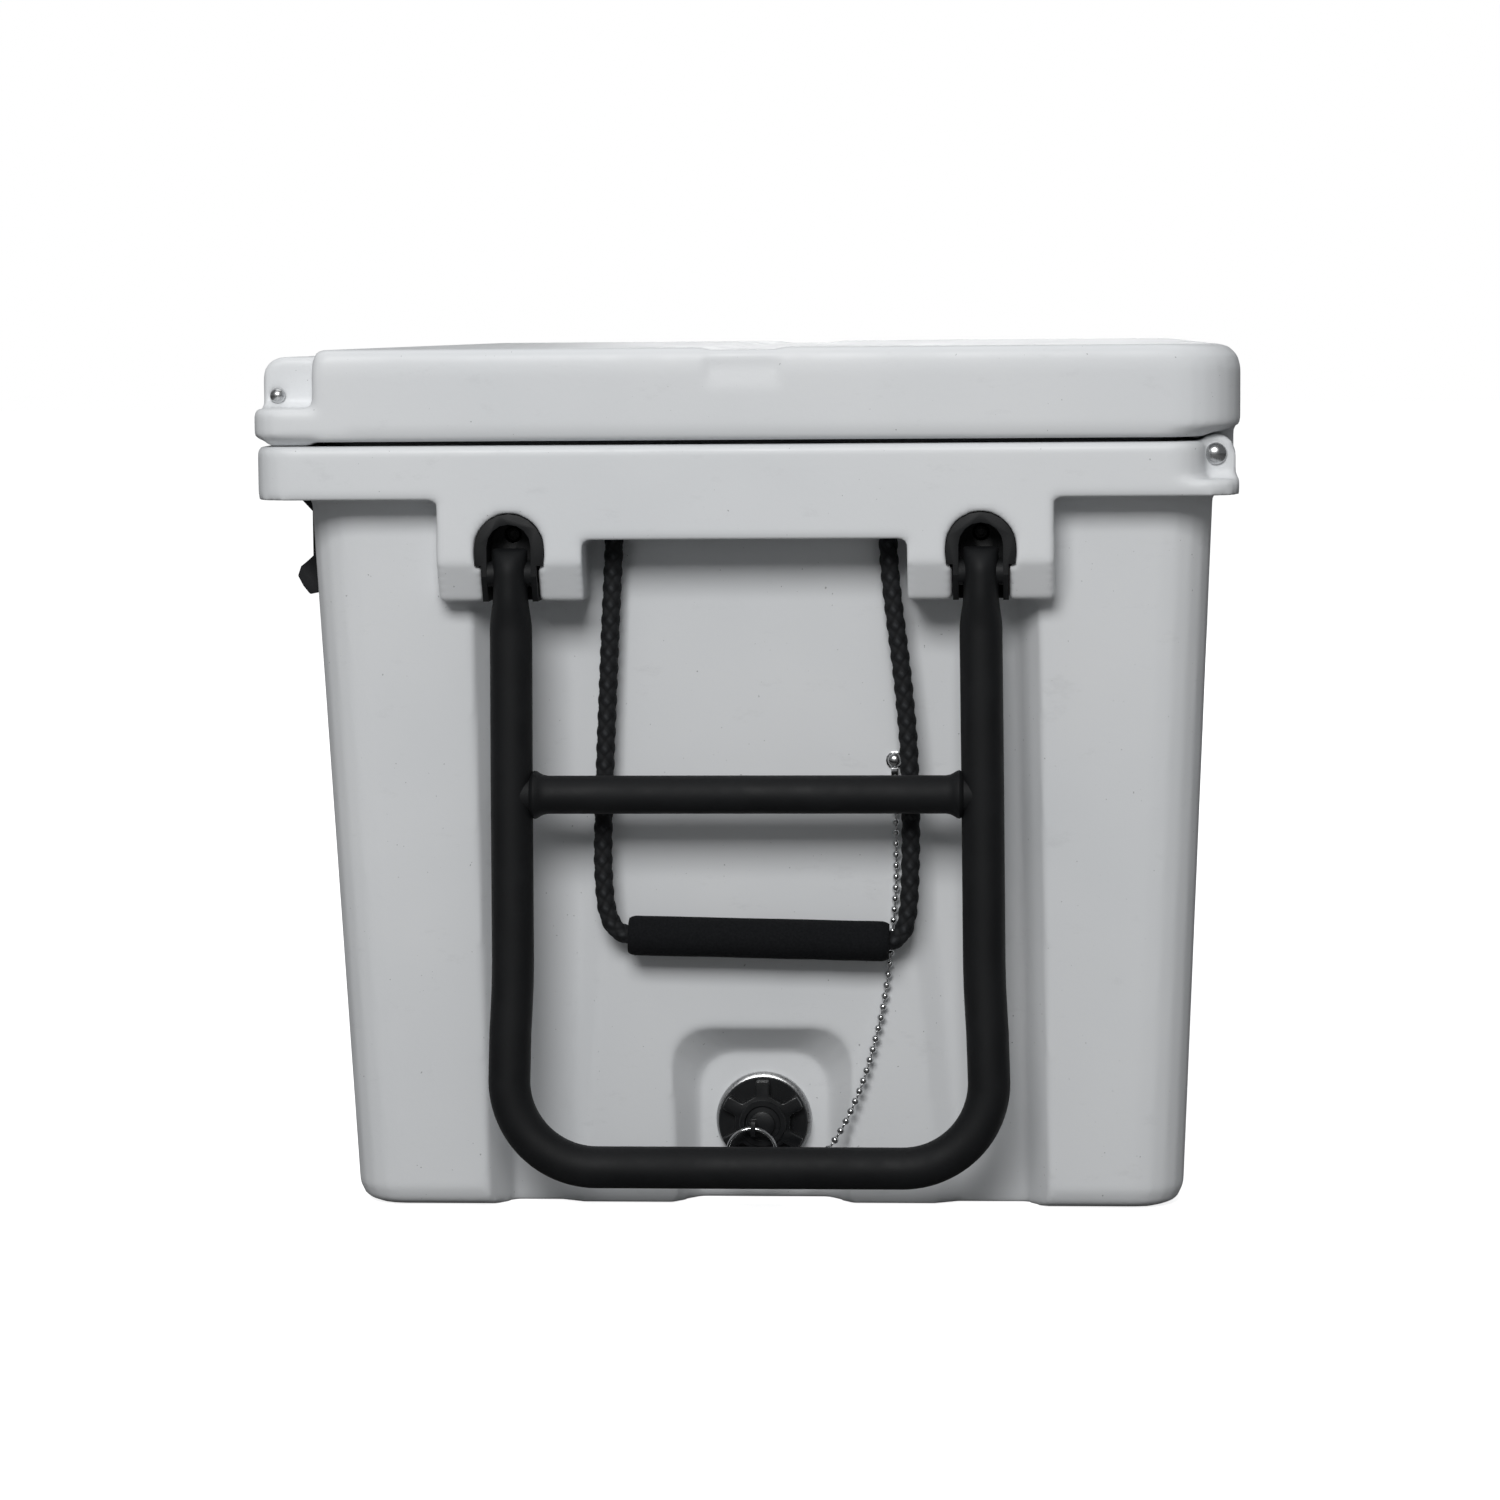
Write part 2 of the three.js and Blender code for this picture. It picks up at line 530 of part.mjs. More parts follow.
function baseShell() {
  const rimRing = (z, back, inset) => ring(
    FRONT_X + inset, back - inset, -END + inset, END - inset, z, RIM_CORNER, RIM_CORNER,
  );
  const rim = loft([
    rimRing(RIM_BOTTOM, RIM_BACK_X, 0), rimRing(RIM_TOP - 2, RIM_BACK_X, 0), rimRing(RIM_TOP, RIM_BACK_X, 1.4),
  ]);
  const ledge = loft([rimRing(RIM_BOTTOM, BACK_X, 0), rimRing(RIM_BOTTOM + LEDGE_HEIGHT, BACK_X, 0)]);
  const ledgeTop = RIM_BOTTOM + LEDGE_HEIGHT;
  const cove = alongY(
    [[RIM_BACK_X - 1, ledgeTop - 1], [RIM_BACK_X + 6, ledgeTop - 1], ...arc(RIM_BACK_X + 6, ledgeTop + 6, 6, 270, 180, 4),
      [RIM_BACK_X - 1, ledgeTop + 6]],
    -END + RIM_CORNER, END - RIM_CORNER,
  );
  const shelf = box(-SHELF_HALF, SHELF_HALF, -END, -(BODY_END - RECESS_DEPTH - 8), SHELF_Z, RIM_BOTTOM + 1);
  const bosses = [-1, 1].map((side) => box(
    side * BOSS_X - BOSS_WIDTH / 2, side * BOSS_X + BOSS_WIDTH / 2, -END, -(BODY_END - RECESS_DEPTH - 8),
    BOSS_Z, SHELF_Z + 1,
  ));
  const chamfer = alongX(
    [[-END - 1, BOSS_Z - 1], [-END + BOSS_SET_BACK, BOSS_Z - 1], [-END + BOSS_SET_BACK, BOSS_Z],
      [-END, BOSS_Z + BOSS_CHAMFER], [-END - 1, BOSS_Z + BOSS_CHAMFER]],
    -SHELF_HALF - 1, SHELF_HALF + 1,
  );
  const body = cut(outerBody, endRecess(0), mirrorY(endRecess(0)), drainPocket(0));
  const knuckles = [];
  const knucklePockets = [];
  for (const start of Object.values(HINGE_STARTS)) {
    const lidStart = start + BASE_KNUCKLE + RUN;
    knuckles.push(knuckle(start, start + BASE_KNUCKLE, KNUCKLE_RADIUS, ledgeTop - 1, HINGE_Z));
    knuckles.push(knuckle(lidStart + LID_KNUCKLE + RUN, start + HINGE_SPAN, KNUCKLE_RADIUS, ledgeTop - 1, HINGE_Z));
    knucklePockets.push(knuckle(
      lidStart - RUN, lidStart + LID_KNUCKLE + RUN, KNUCKLE_RADIUS + KNUCKLE_CLEAR, HINGE_Z, RIM_TOP + 5,
    ));
  }
  const pinBores = Object.values(HINGE_STARTS).flatMap((start) => [
    cylinder('y', HINGE_PIN_RADIUS + GAP, start - 1, start + HINGE_SPAN + 1, [HINGE_X, HINGE_Z], 14),
    cylinder('y', HINGE_HEAD_RADIUS + GAP, start - 6, start, [HINGE_X, HINGE_Z], 16),
    cylinder('y', HINGE_HEAD_RADIUS + GAP, start + HINGE_SPAN, start + HINGE_SPAN + 6, [HINGE_X, HINGE_Z], 16),
  ]);
  const latchSlots = [-1, 1].map((side) => box(
    FRONT_X - 5, BODY_FRONT_X, side * LATCH_Y - LATCH_HALF_SLOT, side * LATCH_Y + LATCH_HALF_SLOT,
    RIM_BOTTOM - 5, RIM_TOP + 5,
  ));
  const pivotPockets = [-1, 1].map((side) => alongY(
    pivotOutline(side * BOSS_X, GAP), -END - 5, -END + INSERT_DEPTH + GAP,
  ));
  const screwBores = [-1, 1].map((side) => cylinder(
    'y', INSERT_SCREW_RADIUS + GAP, -END + INSERT_DEPTH - 1, -END + INSERT_DEPTH + INSERT_SCREW_LENGTH - 1,
    [side * BOSS_X, SCREW_Z], 10,
  ));
  const ropeHoles = [-1, 1].flatMap((end) => [ROPE_FRONT_X, ROPE_BACK_X].map((x) => join(
    cylinder('z', ROPE_RADIUS + GAP, SHELF_Z - 5, RIM_TOP - 10, [x, end * ROPE_Y], 14),
    cylinder('z', KNOT_RADIUS + 1.5, RIM_BOTTOM + ROPE_HOLE_DEPTH, RIM_TOP + 5, [x, end * ROPE_Y], 18),
  )));
  const ports = [-1, 1].map((end) => cylinder('z', PORT_RADIUS, -5, SKIN + 8, [PORT_X, end * PORT_Y], 20));
  const chainBore = cylinder('y', 1.5 + GAP, CHAIN_SEAT - 2, CHAIN_SEAT + 9, CHAIN_SCREW, 8);
  return cut(
    join(body, rim, ledge, cove, shelf, mirrorY(shelf), ...bosses, ...knuckles),
    chamfer, tubSpace(0), foamSpace(0), ...knucklePockets, ...pinBores, ...latchSlots, ...pivotPockets,
    ...screwBores, ...ropeHoles, ...ports, chainBore, wheelWell(-1, 0), wheelWell(1, 0),
    axleSocket(-1, GAP), axleSocket(1, GAP),
    cylinder('y', DRAIN_BORE + GAP, -END, -200, [DRAIN_X, DRAIN_Z]),
  );
}

add('base_shell', baseShell(), whitePlastic);
add('base_foam_core', foamSpace(GAP), foam);
for (const [name, end] of [['near', -1], ['far', 1]]) {
  const place = [PORT_X, end * PORT_Y];
  add(`base_fill_plug_${name}`, cylinder('z', PORT_RADIUS - GAP, PORT_SUNK, SKIN - GAP, place, 20), whitePlastic);
}

// ---------------------------------------------------------------- lid

function lidBlock() {
  const level = (z, back, ends, front) => ring(
    LID_BLOCK_FRONT_X + front, LID_BACK_X - back, -END + ends, END - ends, z, 5, LID_BACK_CORNER, 7,
  );
  const rounded = [0, 30, 60, 90].map((degrees) => {
    const a = THREE.MathUtils.degToRad(degrees);
    const [c, s] = [1 - Math.cos(a), Math.sin(a)];
    return level(LID_TOP - LID_EDGE * (1 - s), LID_EDGE * c, 3 * c, 4 * c);
  });
  return loft([level(LID_Z, 13, 1.5, 0), level(LID_Z + 5.6, 0, 0, 0), ...rounded]);
}

function lidShell() {
  const flangeRing = (z, inset) => ring(
    LID_FRONT_X + inset, LID_BLOCK_FRONT_X + 20, -END + inset, END - inset, z, 15, 4,
  );
  const flange = loft([
    flangeRing(LID_Z, 5), flangeRing(LID_Z + 2.5, 0), flangeRing(LID_Z + FLANGE_TOP - 2, 0),
    flangeRing(LID_Z + FLANGE_TOP, 2),
  ]);
  const bandTop = LID_Z + BAND_TOP;
  const band = alongY(
    [[LID_BLOCK_FRONT_X + 10, LID_Z + 2], [LID_BLOCK_FRONT_X + 10, bandTop],
      ...arc(BAND_FRONT_X + BAND_EDGE, bandTop - BAND_EDGE, BAND_EDGE, 90, 180, 5), [BAND_FRONT_X, LID_Z + 2]],
    -BAND_END, BAND_END,
  );
  const frontLand = box(LID_FRONT_X + 7, LID_BLOCK_FRONT_X - 2, -END + 6, END - 6, RIM_TOP + 0.4, LID_Z + 1);
  const plug = loft([
    tubRing(RIM_TOP, 6), tubRing(LID_Z + 1, 4),
  ].map((points, i) => points.map(([x, y]) => [x, y, i ? LID_Z + 1 : LID_Z - LID_PLUG_DEPTH])));
  const knuckles = [];
  const pockets = [];
  for (const start of Object.values(HINGE_STARTS)) {
    const lidStart = start + BASE_KNUCKLE + RUN;
    const lidEnd = lidStart + LID_KNUCKLE;
    knuckles.push(knuckle(lidStart, lidEnd, KNUCKLE_RADIUS, HINGE_Z, LID_Z + 6));
    for (const [from, to] of [[start - 6, lidStart], [lidEnd, start + HINGE_SPAN + 6]]) {
      pockets.push(cylinder('y', KNUCKLE_RADIUS + KNUCKLE_CLEAR, from, to, [HINGE_X, HINGE_Z], 18));
    }
    pockets.push(cylinder('y', HINGE_PIN_RADIUS + GAP, start - 5, start + HINGE_SPAN + 5, [HINGE_X, HINGE_Z], 14));
  }
  const latchSlots = [-1, 1].map((side) => box(
    LID_FRONT_X - 5, LATCH_X + LATCH_BARREL + 5.5,
    side * LATCH_Y - LATCH_HALF_SLOT, side * LATCH_Y + LATCH_HALF_SLOT, LID_Z - 5, LID_TOP + 5,
  ));
  const latchBores = [-1, 1].map((side) => cylinder(
    'y', LATCH_PIN_RADIUS + GAP, Math.min(side * (BAND_END + 5), side * LATCH_PIN_END),
    Math.max(side * (BAND_END + 5), side * LATCH_PIN_END), [LATCH_X, LATCH_Z], 12,
  ));
  const half = STRAP_CHANNEL / 2;
  const channel = join(
    box(-half, half, -END - 5, END + 5, LID_TOP - STRAP_DEPTH, LID_TOP + 5),
    ...[-1, 1].map((end) => alongX(
      [[end * (END + 5), LID_TOP + 1], [end * (END - STRAP_DEPTH), LID_TOP + 1], [end * (END - STRAP_DEPTH), LID_TOP - 8],
        [end * (END + 0.5), LID_TOP - STRAP_FALL], [end * (END + 5), LID_TOP - STRAP_FALL]],
      -half, half,
    )),
  );
  return cut(
    join(lidBlock(), flange, band, frontLand, plug, ...knuckles),
    lidFoamSpace(0), gasketRing(GAP, LID_Z - 1, LID_Z + GASKET_GROOVE), channel,
    cylinder('z', PORT_RADIUS, LID_Z - LID_PLUG_DEPTH - 5, LID_Z + 8, [0, 0], 20),
    ...pockets, ...latchSlots, ...latchBores,
  );
}

/** The lid's foam; shrink leaves a clearance round it. */
function lidFoamSpace(shrink) {
  const skin = SKIN + shrink;
  const upper = ring(
    LID_BLOCK_FRONT_X + skin, LID_BACK_X - 25 - shrink, -END + skin + 2, END - skin - 2, 0, 5, LID_BACK_CORNER, 3,
  );
  const lower = tubRing(RIM_TOP, 6 + skin);
  const at = (points, z) => points.map(([x, y]) => [x, y, z]);
  const floor = LID_Z + GASKET_GROOVE + 3 + shrink;
  const ceiling = LID_TOP - STRAP_DEPTH - SKIN - shrink;
  return join(
    loft([at(upper, floor), at(upper, ceiling)]),
    loft([at(lower, LID_Z - LID_PLUG_DEPTH + skin), at(lower, floor + 1)]),
  );
}

/** The seal's ring, let out on both sides. */
function gasketRing(out, z0, z1) {
  const level = (z, inset) => ring(
    GASKET_FRONT_X + inset, GASKET_BACK_X - inset, -END + GASKET_END + inset, END - GASKET_END - inset,
    z, 16 - inset, 16 - inset, 5,
  );
  const outer = loft([level(z0, -out), level(z1, -out)]);
  const inner = loft([level(z0 - 1, GASKET_WIDTH + out), level(z1 + 1, GASKET_WIDTH + out)]);
  return cut(outer, inner);
}

add('lid_shell', lidShell(), whitePlastic);
add('lid_foam_core', lidFoamSpace(GAP), foam);
const PLUG_FACE = LID_Z - LID_PLUG_DEPTH;
add('lid_fill_plug', cylinder('z', PORT_RADIUS - GAP, PLUG_FACE + PORT_SUNK, PLUG_FACE + SKIN - GAP, [0, 0], 20),
  whitePlastic);
add('lid_gasket', gasketRing(-GAP, RIM_TOP + GAP, LID_Z + GASKET_GROOVE - GAP), blackRubber);

for (const [name, start] of Object.entries(HINGE_STARTS)) {
  const end = start + HINGE_SPAN;
  add(`hinge_pin_${name}`, lathe('y', [
    [0, start - 3.6], [3.6, start - 2.8], [HINGE_HEAD_RADIUS, start - GAP],
    [HINGE_PIN_RADIUS, start - GAP], [HINGE_PIN_RADIUS, end + GAP], [HINGE_HEAD_RADIUS, end + GAP],
    [3.6, end + 2.8], [0, end + 3.6],
  ], [HINGE_X, HINGE_Z], 12), steel);
}

// ---------------------------------------------------------------- latches

/** Side outline of a rubber latch: barrel, strap across the rim, and the pull below it. */
function latchOutline() {
  const inner = BODY_FRONT_X - RUN;
  const tip = RIM_TOP - LATCH_BELOW_RIM;
  const pull = [inner - 10.8, tip + 9];
  return [
    ...arc(LATCH_X, LATCH_Z, LATCH_BARREL, 0, 180, 8),
    [LATCH_X - LATCH_BARREL, LID_Z + 4],
    [LATCH_X - 4, RIM_BOTTOM + 6],
    [inner - 5.6, RIM_BOTTOM - 8],
    [inner - 5.4, tip + 19],
    [pull[0] + 1.6, pull[1] + 4.6],
    pull,
    [pull[0] + 2.6, pull[1] - 5],
    [inner - 5, tip],
    [inner, tip + 1],
    [inner, RIM_TOP - 2],
    [inner - 1.5, LID_Z + 6],
  ];
}

for (const [name, side] of [['near', -1], ['far', 1]]) {
  const y = side * LATCH_Y;
  const bar = alongY(latchOutline(), y - LATCH_WIDTH / 2, y + LATCH_WIDTH / 2);
  const bore = cylinder('y', LATCH_PIN_RADIUS + GAP, y - LATCH_WIDTH, y + LATCH_WIDTH, [LATCH_X, LATCH_Z], 12);
  add(`latch_${name}`, cut(bar, bore), blackRubber);
  const pin = lathe('y', [
    [0, LATCH_PIN_END + 1], [LATCH_PIN_RADIUS, LATCH_PIN_END + 1], [LATCH_PIN_RADIUS, BAND_END + GAP],
    [LATCH_HEAD_RADIUS, BAND_END + GAP], [3.2, BAND_END + 1.9], [1.8, BAND_END + 2.8], [0, BAND_END + 3.1],
  ], [LATCH_X, LATCH_Z], 14);
  add(`latch_pin_${name}`, side > 0 ? pin : mirrorY(pin), steel);
}

// ---------------------------------------------------------------- tow handle

/** Centre line of the tow handle's +X half, from the pivot down to the middle of the bottom. */
function towHalf() {
  const legX = BOSS_X;
  const wide = legX + TOW_FLARE;
  const bend = arc(wide - TOW_BEND, TOW_BOTTOM_Z + TOW_BEND, TOW_BEND, 0, -90, 6);
  return [
    [legX, TOW_Y, TOW_Z - 32],
    [legX + 0.6, TOW_Y, (TOW_Z + TOW_KINK_Z) / 2],
    [legX + 1.1, TOW_Y, TOW_KINK_Z + 8],
    [legX + 1.7, TOW_Y - 0.5, TOW_KINK_Z - 6],
    ...bend.map(([x, z], i) => [x, TOW_Y - TOW_KINK_OUT * Math.min(1, 0.8 + i / 10), z]),
    [0, TOW_Y - TOW_KINK_OUT, TOW_BOTTOM_Z],
  ];
}

/** Rings square to a path, each an ellipse with its own half width and half depth. */
function pathRings(stations, sides) {
  return stations.map(({ at, half, deep }, i) => {
    const before = new THREE.Vector3(...stations[Math.max(i - 1, 0)].at);
    const after = new THREE.Vector3(...stations[Math.min(i + 1, stations.length - 1)].at);
    const along = after.sub(before).normalize();
    const depth = Y_AXIS.clone().addScaledVector(along, -along.y).normalize();
    const across = depth.clone().cross(along);
    return arc(0, 0, 1, 0, 360 - 360 / sides, sides - 1).map(([c, s]) => new THREE.Vector3(...at)
      .addScaledVector(across, half * c).addScaledVector(depth, deep * s).toArray());
  });
}

function towStations(radius) {
  const down = towHalf().map((at) => ({ at, half: radius, deep: radius }));
  const up = down.slice(0, -1).reverse().map(({ at: [x, y, z], half, deep }) => ({ at: [-x, y, z], half, deep }));
  return { down, up };
}

function towTube() {
  const { down, up } = towStations(TOW_TUBE_RADIUS);
  // the flattened tip: [height from the pivot, half width, half depth]
  const tip = [
    [11.6, TOW_TIP_HALF, 3], [10.4, TOW_TIP_HALF, 6], [7, TOW_TIP_HALF, 9.75], [0, TOW_TIP_HALF, TOW_TIP_RADIUS],
    [-11, TOW_TIP_HALF + 0.2, TOW_TIP_RADIUS - 0.2], [-22, TOW_TUBE_RADIUS - 0.4, TOW_TUBE_RADIUS + 0.3],
  ];
  const tipAt = (side) => tip.map(([dz, half, deep]) => ({ at: [side * BOSS_X, TOW_Y, TOW_Z + dz], half, deep }));
  const outside = loft(pathRings([...tipAt(1), ...down, ...up, ...tipAt(-1).reverse()], 14));
  const bore = towStations(TOW_TUBE_RADIUS - TOW_WALL);
  const inside = loft(pathRings([...bore.down, ...bore.up], 8));
  const pinBores = [-1, 1].map((side) => cylinder(
    'x', PIVOT_PIN_RADIUS + GAP, side * BOSS_X - 15, side * BOSS_X + 15, [TOW_Y, TOW_Z], 12,
  ));
  const vent = cylinder('z', 2.5, 0, TOW_BOTTOM_Z, [60, TOW_Y - TOW_KINK_OUT], 8);
  return cut(outside, inside, vent, ...pinBores);
}

function crossbar() {
  const reach = BOSS_X + 1;
  const bead = reach - TOW_TUBE_RADIUS;
  const r = CROSSBAR_RADIUS;
  const bar = lathe('x', [
    [0, -reach], [r + 3, -reach], [r + 3, -bead + 1], [r + 1, -bead + 4], [r, -bead + 7],
    [r, bead - 7], [r + 1, bead - 4], [r + 3, bead - 1], [r + 3, reach], [0, reach],
  ], [TOW_Y, CROSSBAR_Z], 16);
  const leg = loft(pathRings([...towStations(TOW_TUBE_RADIUS + GAP).down.slice(0, 3)], 24));
  const otherLeg = leg.mirror([1, 0, 0]);
  const bore = cylinder('x', r - TOW_WALL, -reach - 5, reach + 5, [TOW_Y, CROSSBAR_Z], 10);
  const trim = [-1, 1].map((side) => box(
    Math.min(side * (reach - 0.2), side * (reach + 20)), Math.max(side * (reach - 0.2), side * (reach + 20)),
    TOW_Y - 20, TOW_Y + 20, CROSSBAR_Z - 20, CROSSBAR_Z + 20,
  ));
  return cut(bar, leg, otherLeg, bore, ...trim);
}

function pivotInsert(side) {
  const x = side * BOSS_X;
  const bodyOutline = pivotOutline(x, 0);
  const slotTop = RIM_TOP - INSERT_ARCH_DROP + 1;
  const slot = alongY(
    [[x - INSERT_SLOT, BOSS_Z - 5], [x + INSERT_SLOT, BOSS_Z - 5], ...arc(x, slotTop, INSERT_SLOT, 0, 180, 8)],
    -END - 5, -END + INSERT_DEPTH - INSERT_BACK,
  );
  const collars = [-1, 1].map((s) => {
    const a = x + s * (TOW_TIP_HALF + RUN);
    const b = x + s * (INSERT_SLOT + 0.5);
    return cylinder('x', 5.9, Math.min(a, b), Math.max(a, b), [TOW_Y, TOW_Z], 16);
  });
  const pinBore = cylinder('x', PIVOT_PIN_RADIUS + GAP / 2, x - 20, x + 20, [TOW_Y, TOW_Z], 16);
  const screwBore = join(
    cylinder('y', INSERT_SCREW_RADIUS + GAP, -END, -END + 40, [x, SCREW_Z], 10),
    cylinder('y', 4.2, -END, -END + INSERT_DEPTH - INSERT_BACK + 2.5, [x, SCREW_Z], 12),
  );
  const foot = alongX(
    [[-END - 1, BOSS_Z - 1], [-END + 7, BOSS_Z - 1], [-END, BOSS_Z + 12], [-END - 1, BOSS_Z + 12]], x - 20, x + 20,
  );
  return cut(join(cut(alongY(bodyOutline, -END, -END + INSERT_DEPTH), slot, foot), ...collars), pinBore, screwBore);
}

add('tow_handle_tube', towTube(), blackPaint);
add('tow_handle_crossbar', crossbar(), blackPaint);
for (const [name, side] of [['front', -1], ['back', 1]]) {
  add(`pivot_insert_${name}`, pivotInsert(side), blackPlastic);
  const x = side * BOSS_X;
  add(`pivot_pin_${name}`, cylinder('x', PIVOT_PIN_RADIUS - GAP / 2, x - 12.7, x + 12.7, [TOW_Y, TOW_Z], 16), steel);
  const seat = -END + INSERT_DEPTH - INSERT_BACK + 2.5;
  add(`insert_screw_${name}`, lathe('y', [
    [0, seat - 2.6], [3, seat - 2.4], [3.8, seat - GAP], [INSERT_SCREW_RADIUS, seat - GAP],
    [INSERT_SCREW_RADIUS, seat + INSERT_SCREW_LENGTH - 2], [0, seat + INSERT_SCREW_LENGTH - 2],
  ], [x, SCREW_Z], 10), steel);
}

// ---------------------------------------------------------------- rope handles

// the hanging rope, [x, z], from one end of the shelf down, through the grip and up again
const ROPE_ROUTE = [
  [ROPE_FRONT_X, ROPE_Z], [-64.2, 303], [-65.4, 281.3], [-67.3, 243.2], [-68.7, 214.5], [-70.1, 176.4], [-69.8, 158],
  [-68.4, 145], [-64.6, 136.4], [-57.4, 133], [-45, 132.7], [0, 131.6], [53, 130.4], [65.4, 130.1], [72, 134.4],
  [75, 146], [76.1, 168], [76.3, 195.5], [75.4, 224.1], [73.9, 243.2], [72, 262.3], [69.2, 285], [67.2, 304],
  [ROPE_BACK_X, ROPE_Z],
];

function hangingRope(y) {
  const route = new THREE.CatmullRomCurve3(ROPE_ROUTE.map(([x, z]) => new THREE.Vector3(x, y, z)));
  const ends = [ROPE_FRONT_X, ROPE_BACK_X].map((x) => solid(
    new THREE.SphereGeometry(ROPE_RADIUS, 10, 6).translate(x, y, ROPE_Z),
  ));
  return join(tube(route, ROPE_RADIUS, 8, 30), ...ends);
}

function gripFoam(y) {
  const from = new THREE.Vector3(GRIP_FRONT[0], y, GRIP_FRONT[1]);
  const to = new THREE.Vector3(GRIP_BACK[0], y, GRIP_BACK[1]);
  const length = from.distanceTo(to);
  const r = GRIP_RADIUS;
  const bore = ROPE_RADIUS + 1.7;
  const sleeve = lathe('x', [
    [bore, 0], [r - 1.5, 0], [r, 2], [r, length - 2], [r - 1.5, length], [bore, length], [bore, 0],
  ], [0, 0], 18);
  const tilt = THREE.MathUtils.radToDeg(Math.atan2(to.z - from.z, to.x - from.x));
  return sleeve.rotate([0, -tilt, 0]).translate(from.toArray());
}

for (const [name, end] of [['near', -1], ['far', 1]]) {
  const y = end * ROPE_Y;
  add(`rope_${name}`, hangingRope(y), ropeBraid);
  add(`rope_grip_${name}`, gripFoam(y), foamGrip);
  for (const [side, x] of [['front', ROPE_FRONT_X], ['back', ROPE_BACK_X]]) {
    const knotZ = RIM_BOTTOM + ROPE_HOLE_DEPTH + GAP;
    add(`rope_knot_${name}_${side}`, lathe('z', [
      [0, SHELF_Z], [ROPE_RADIUS - 0.1, SHELF_Z], [ROPE_RADIUS - 0.1, knotZ], [KNOT_RADIUS - 2, knotZ],
      [KNOT_RADIUS, knotZ + 4], [KNOT_RADIUS, knotZ + 12], [KNOT_RADIUS - 3, knotZ + 17], [0, knotZ + 18.5],
    ], [x, y], 14), ropeBraid);
  }
}

// ---------------------------------------------------------------- drain

const POCKET = -DRAIN_POCKET_Y;
const FLANGE_FACE = POCKET - GAP - DRAIN_FLANGE;
const LINER_FACE = -(wallEnd(DRAIN_Z) - WALL + 1.5);

add('drain_fitting', lathe('y', [
  [PLUG_RADIUS + RUN, FLANGE_FACE], [DRAIN_FLANGE_RADIUS - 1.2, FLANGE_FACE], [DRAIN_FLANGE_RADIUS, FLANGE_FACE + 1.2],
  [DRAIN_FLANGE_RADIUS, POCKET - GAP], [DRAIN_BORE, POCKET - GAP], [DRAIN_BORE, LINER_FACE + NUT_THICKNESS + 4],
  [PLUG_RADIUS + RUN, LINER_FACE + NUT_THICKNESS + 4], [PLUG_RADIUS + RUN, FLANGE_FACE],
], [DRAIN_X, DRAIN_Z], 24), steel);
add('drain_nut', cut(
  cylinder('y', NUT_RADIUS, LINER_FACE + GAP, LINER_FACE + NUT_THICKNESS, [DRAIN_X, DRAIN_Z], 6),
  cylinder('y', DRAIN_BORE + GAP, LINER_FACE - 5, LINER_FACE + 15, [DRAIN_X, DRAIN_Z], 24),
), blackPlastic);

const SEAL = 1.4;
const CAP_BACK = FLANGE_FACE - GAP - SEAL - GAP;
add('drain_seal', lathe('y', [
  [PLUG_RADIUS + GAP, CAP_BACK + GAP], [PLUG_RADIUS + 4, CAP_BACK + GAP], [PLUG_RADIUS + 4, FLANGE_FACE - GAP],
  [PLUG_RADIUS + GAP, FLANGE_FACE - GAP], [PLUG_RADIUS + GAP, CAP_BACK + GAP],
], [DRAIN_X, DRAIN_Z], 20), blackRubber);

const CAP_DISC = CAP_BACK - 3.5;
const CAP_FRONT = CAP_DISC - 5;

/** Outline of the grip on the plug: a hub with round-ended lobes. */
function lobeOutline() {
  const points = [];
  for (let i = 0; i < CAP_LOBES; i += 1) {
    const a = 90 + (i * 360) / CAP_LOBES;
    const [c, s] = [Math.cos(THREE.MathUtils.degToRad(a)), Math.sin(THREE.MathUtils.degToRad(a))];
    const lobe = arc(0, 0, 4, -90, 90, 3).map(([u, v]) => [CAP_RADIUS - 5 + u, v]);
    for (const [u, v] of [[11.5, -4], ...lobe, [11.5, 4]]) {
      points.push([DRAIN_X + u * c - v * s, DRAIN_Z + u * s + v * c]);
    }
  }
  return points;
}

add('drain_plug', join(
  lathe('y', [
    [0, CAP_DISC], [CAP_RADIUS - 1, CAP_DISC], [CAP_RADIUS, CAP_DISC + 1], [CAP_RADIUS, CAP_BACK], [PLUG_RADIUS, CAP_BACK],
    [PLUG_RADIUS, LINER_FACE], [0, LINER_FACE],
  ], [DRAIN_X, DRAIN_Z], 24),
  alongY(lobeOutline(), CAP_FRONT, CAP_DISC + 0.5),
), blackPlastic);

const RING_Y = CAP_FRONT - 7;
const RING_X = -1;
const RING_TOP = DRAIN_Z - 1.2;
add('drain_swivel', cut(
  join(
    cylinder('y', 6, CAP_FRONT - 2.3, CAP_FRONT - GAP, [DRAIN_X, DRAIN_Z], 16),
    box(RING_X - 0.4, RING_X + 1.8, RING_Y - 3.4, CAP_FRONT - 1, RING_TOP - 3.4, RING_TOP + 3.6),
  ),
  cylinder('x', SPLIT_RING_WIRE + RUN, RING_X - 5, RING_X + 5, [RING_Y, RING_TOP], 10),
), blackPlastic);
add('split_ring', solid(new THREE.TorusGeometry(SPLIT_RING_RADIUS, SPLIT_RING_WIRE, 6, 18).rotateX(Math.PI / 2)
  .translate(RING_X, RING_Y, RING_TOP - SPLIT_RING_RADIUS)), steel);

// ---------------------------------------------------------------- tether

const CHAIN_Y = CHAIN_SEAT - GAP - CHAIN_RADIUS;
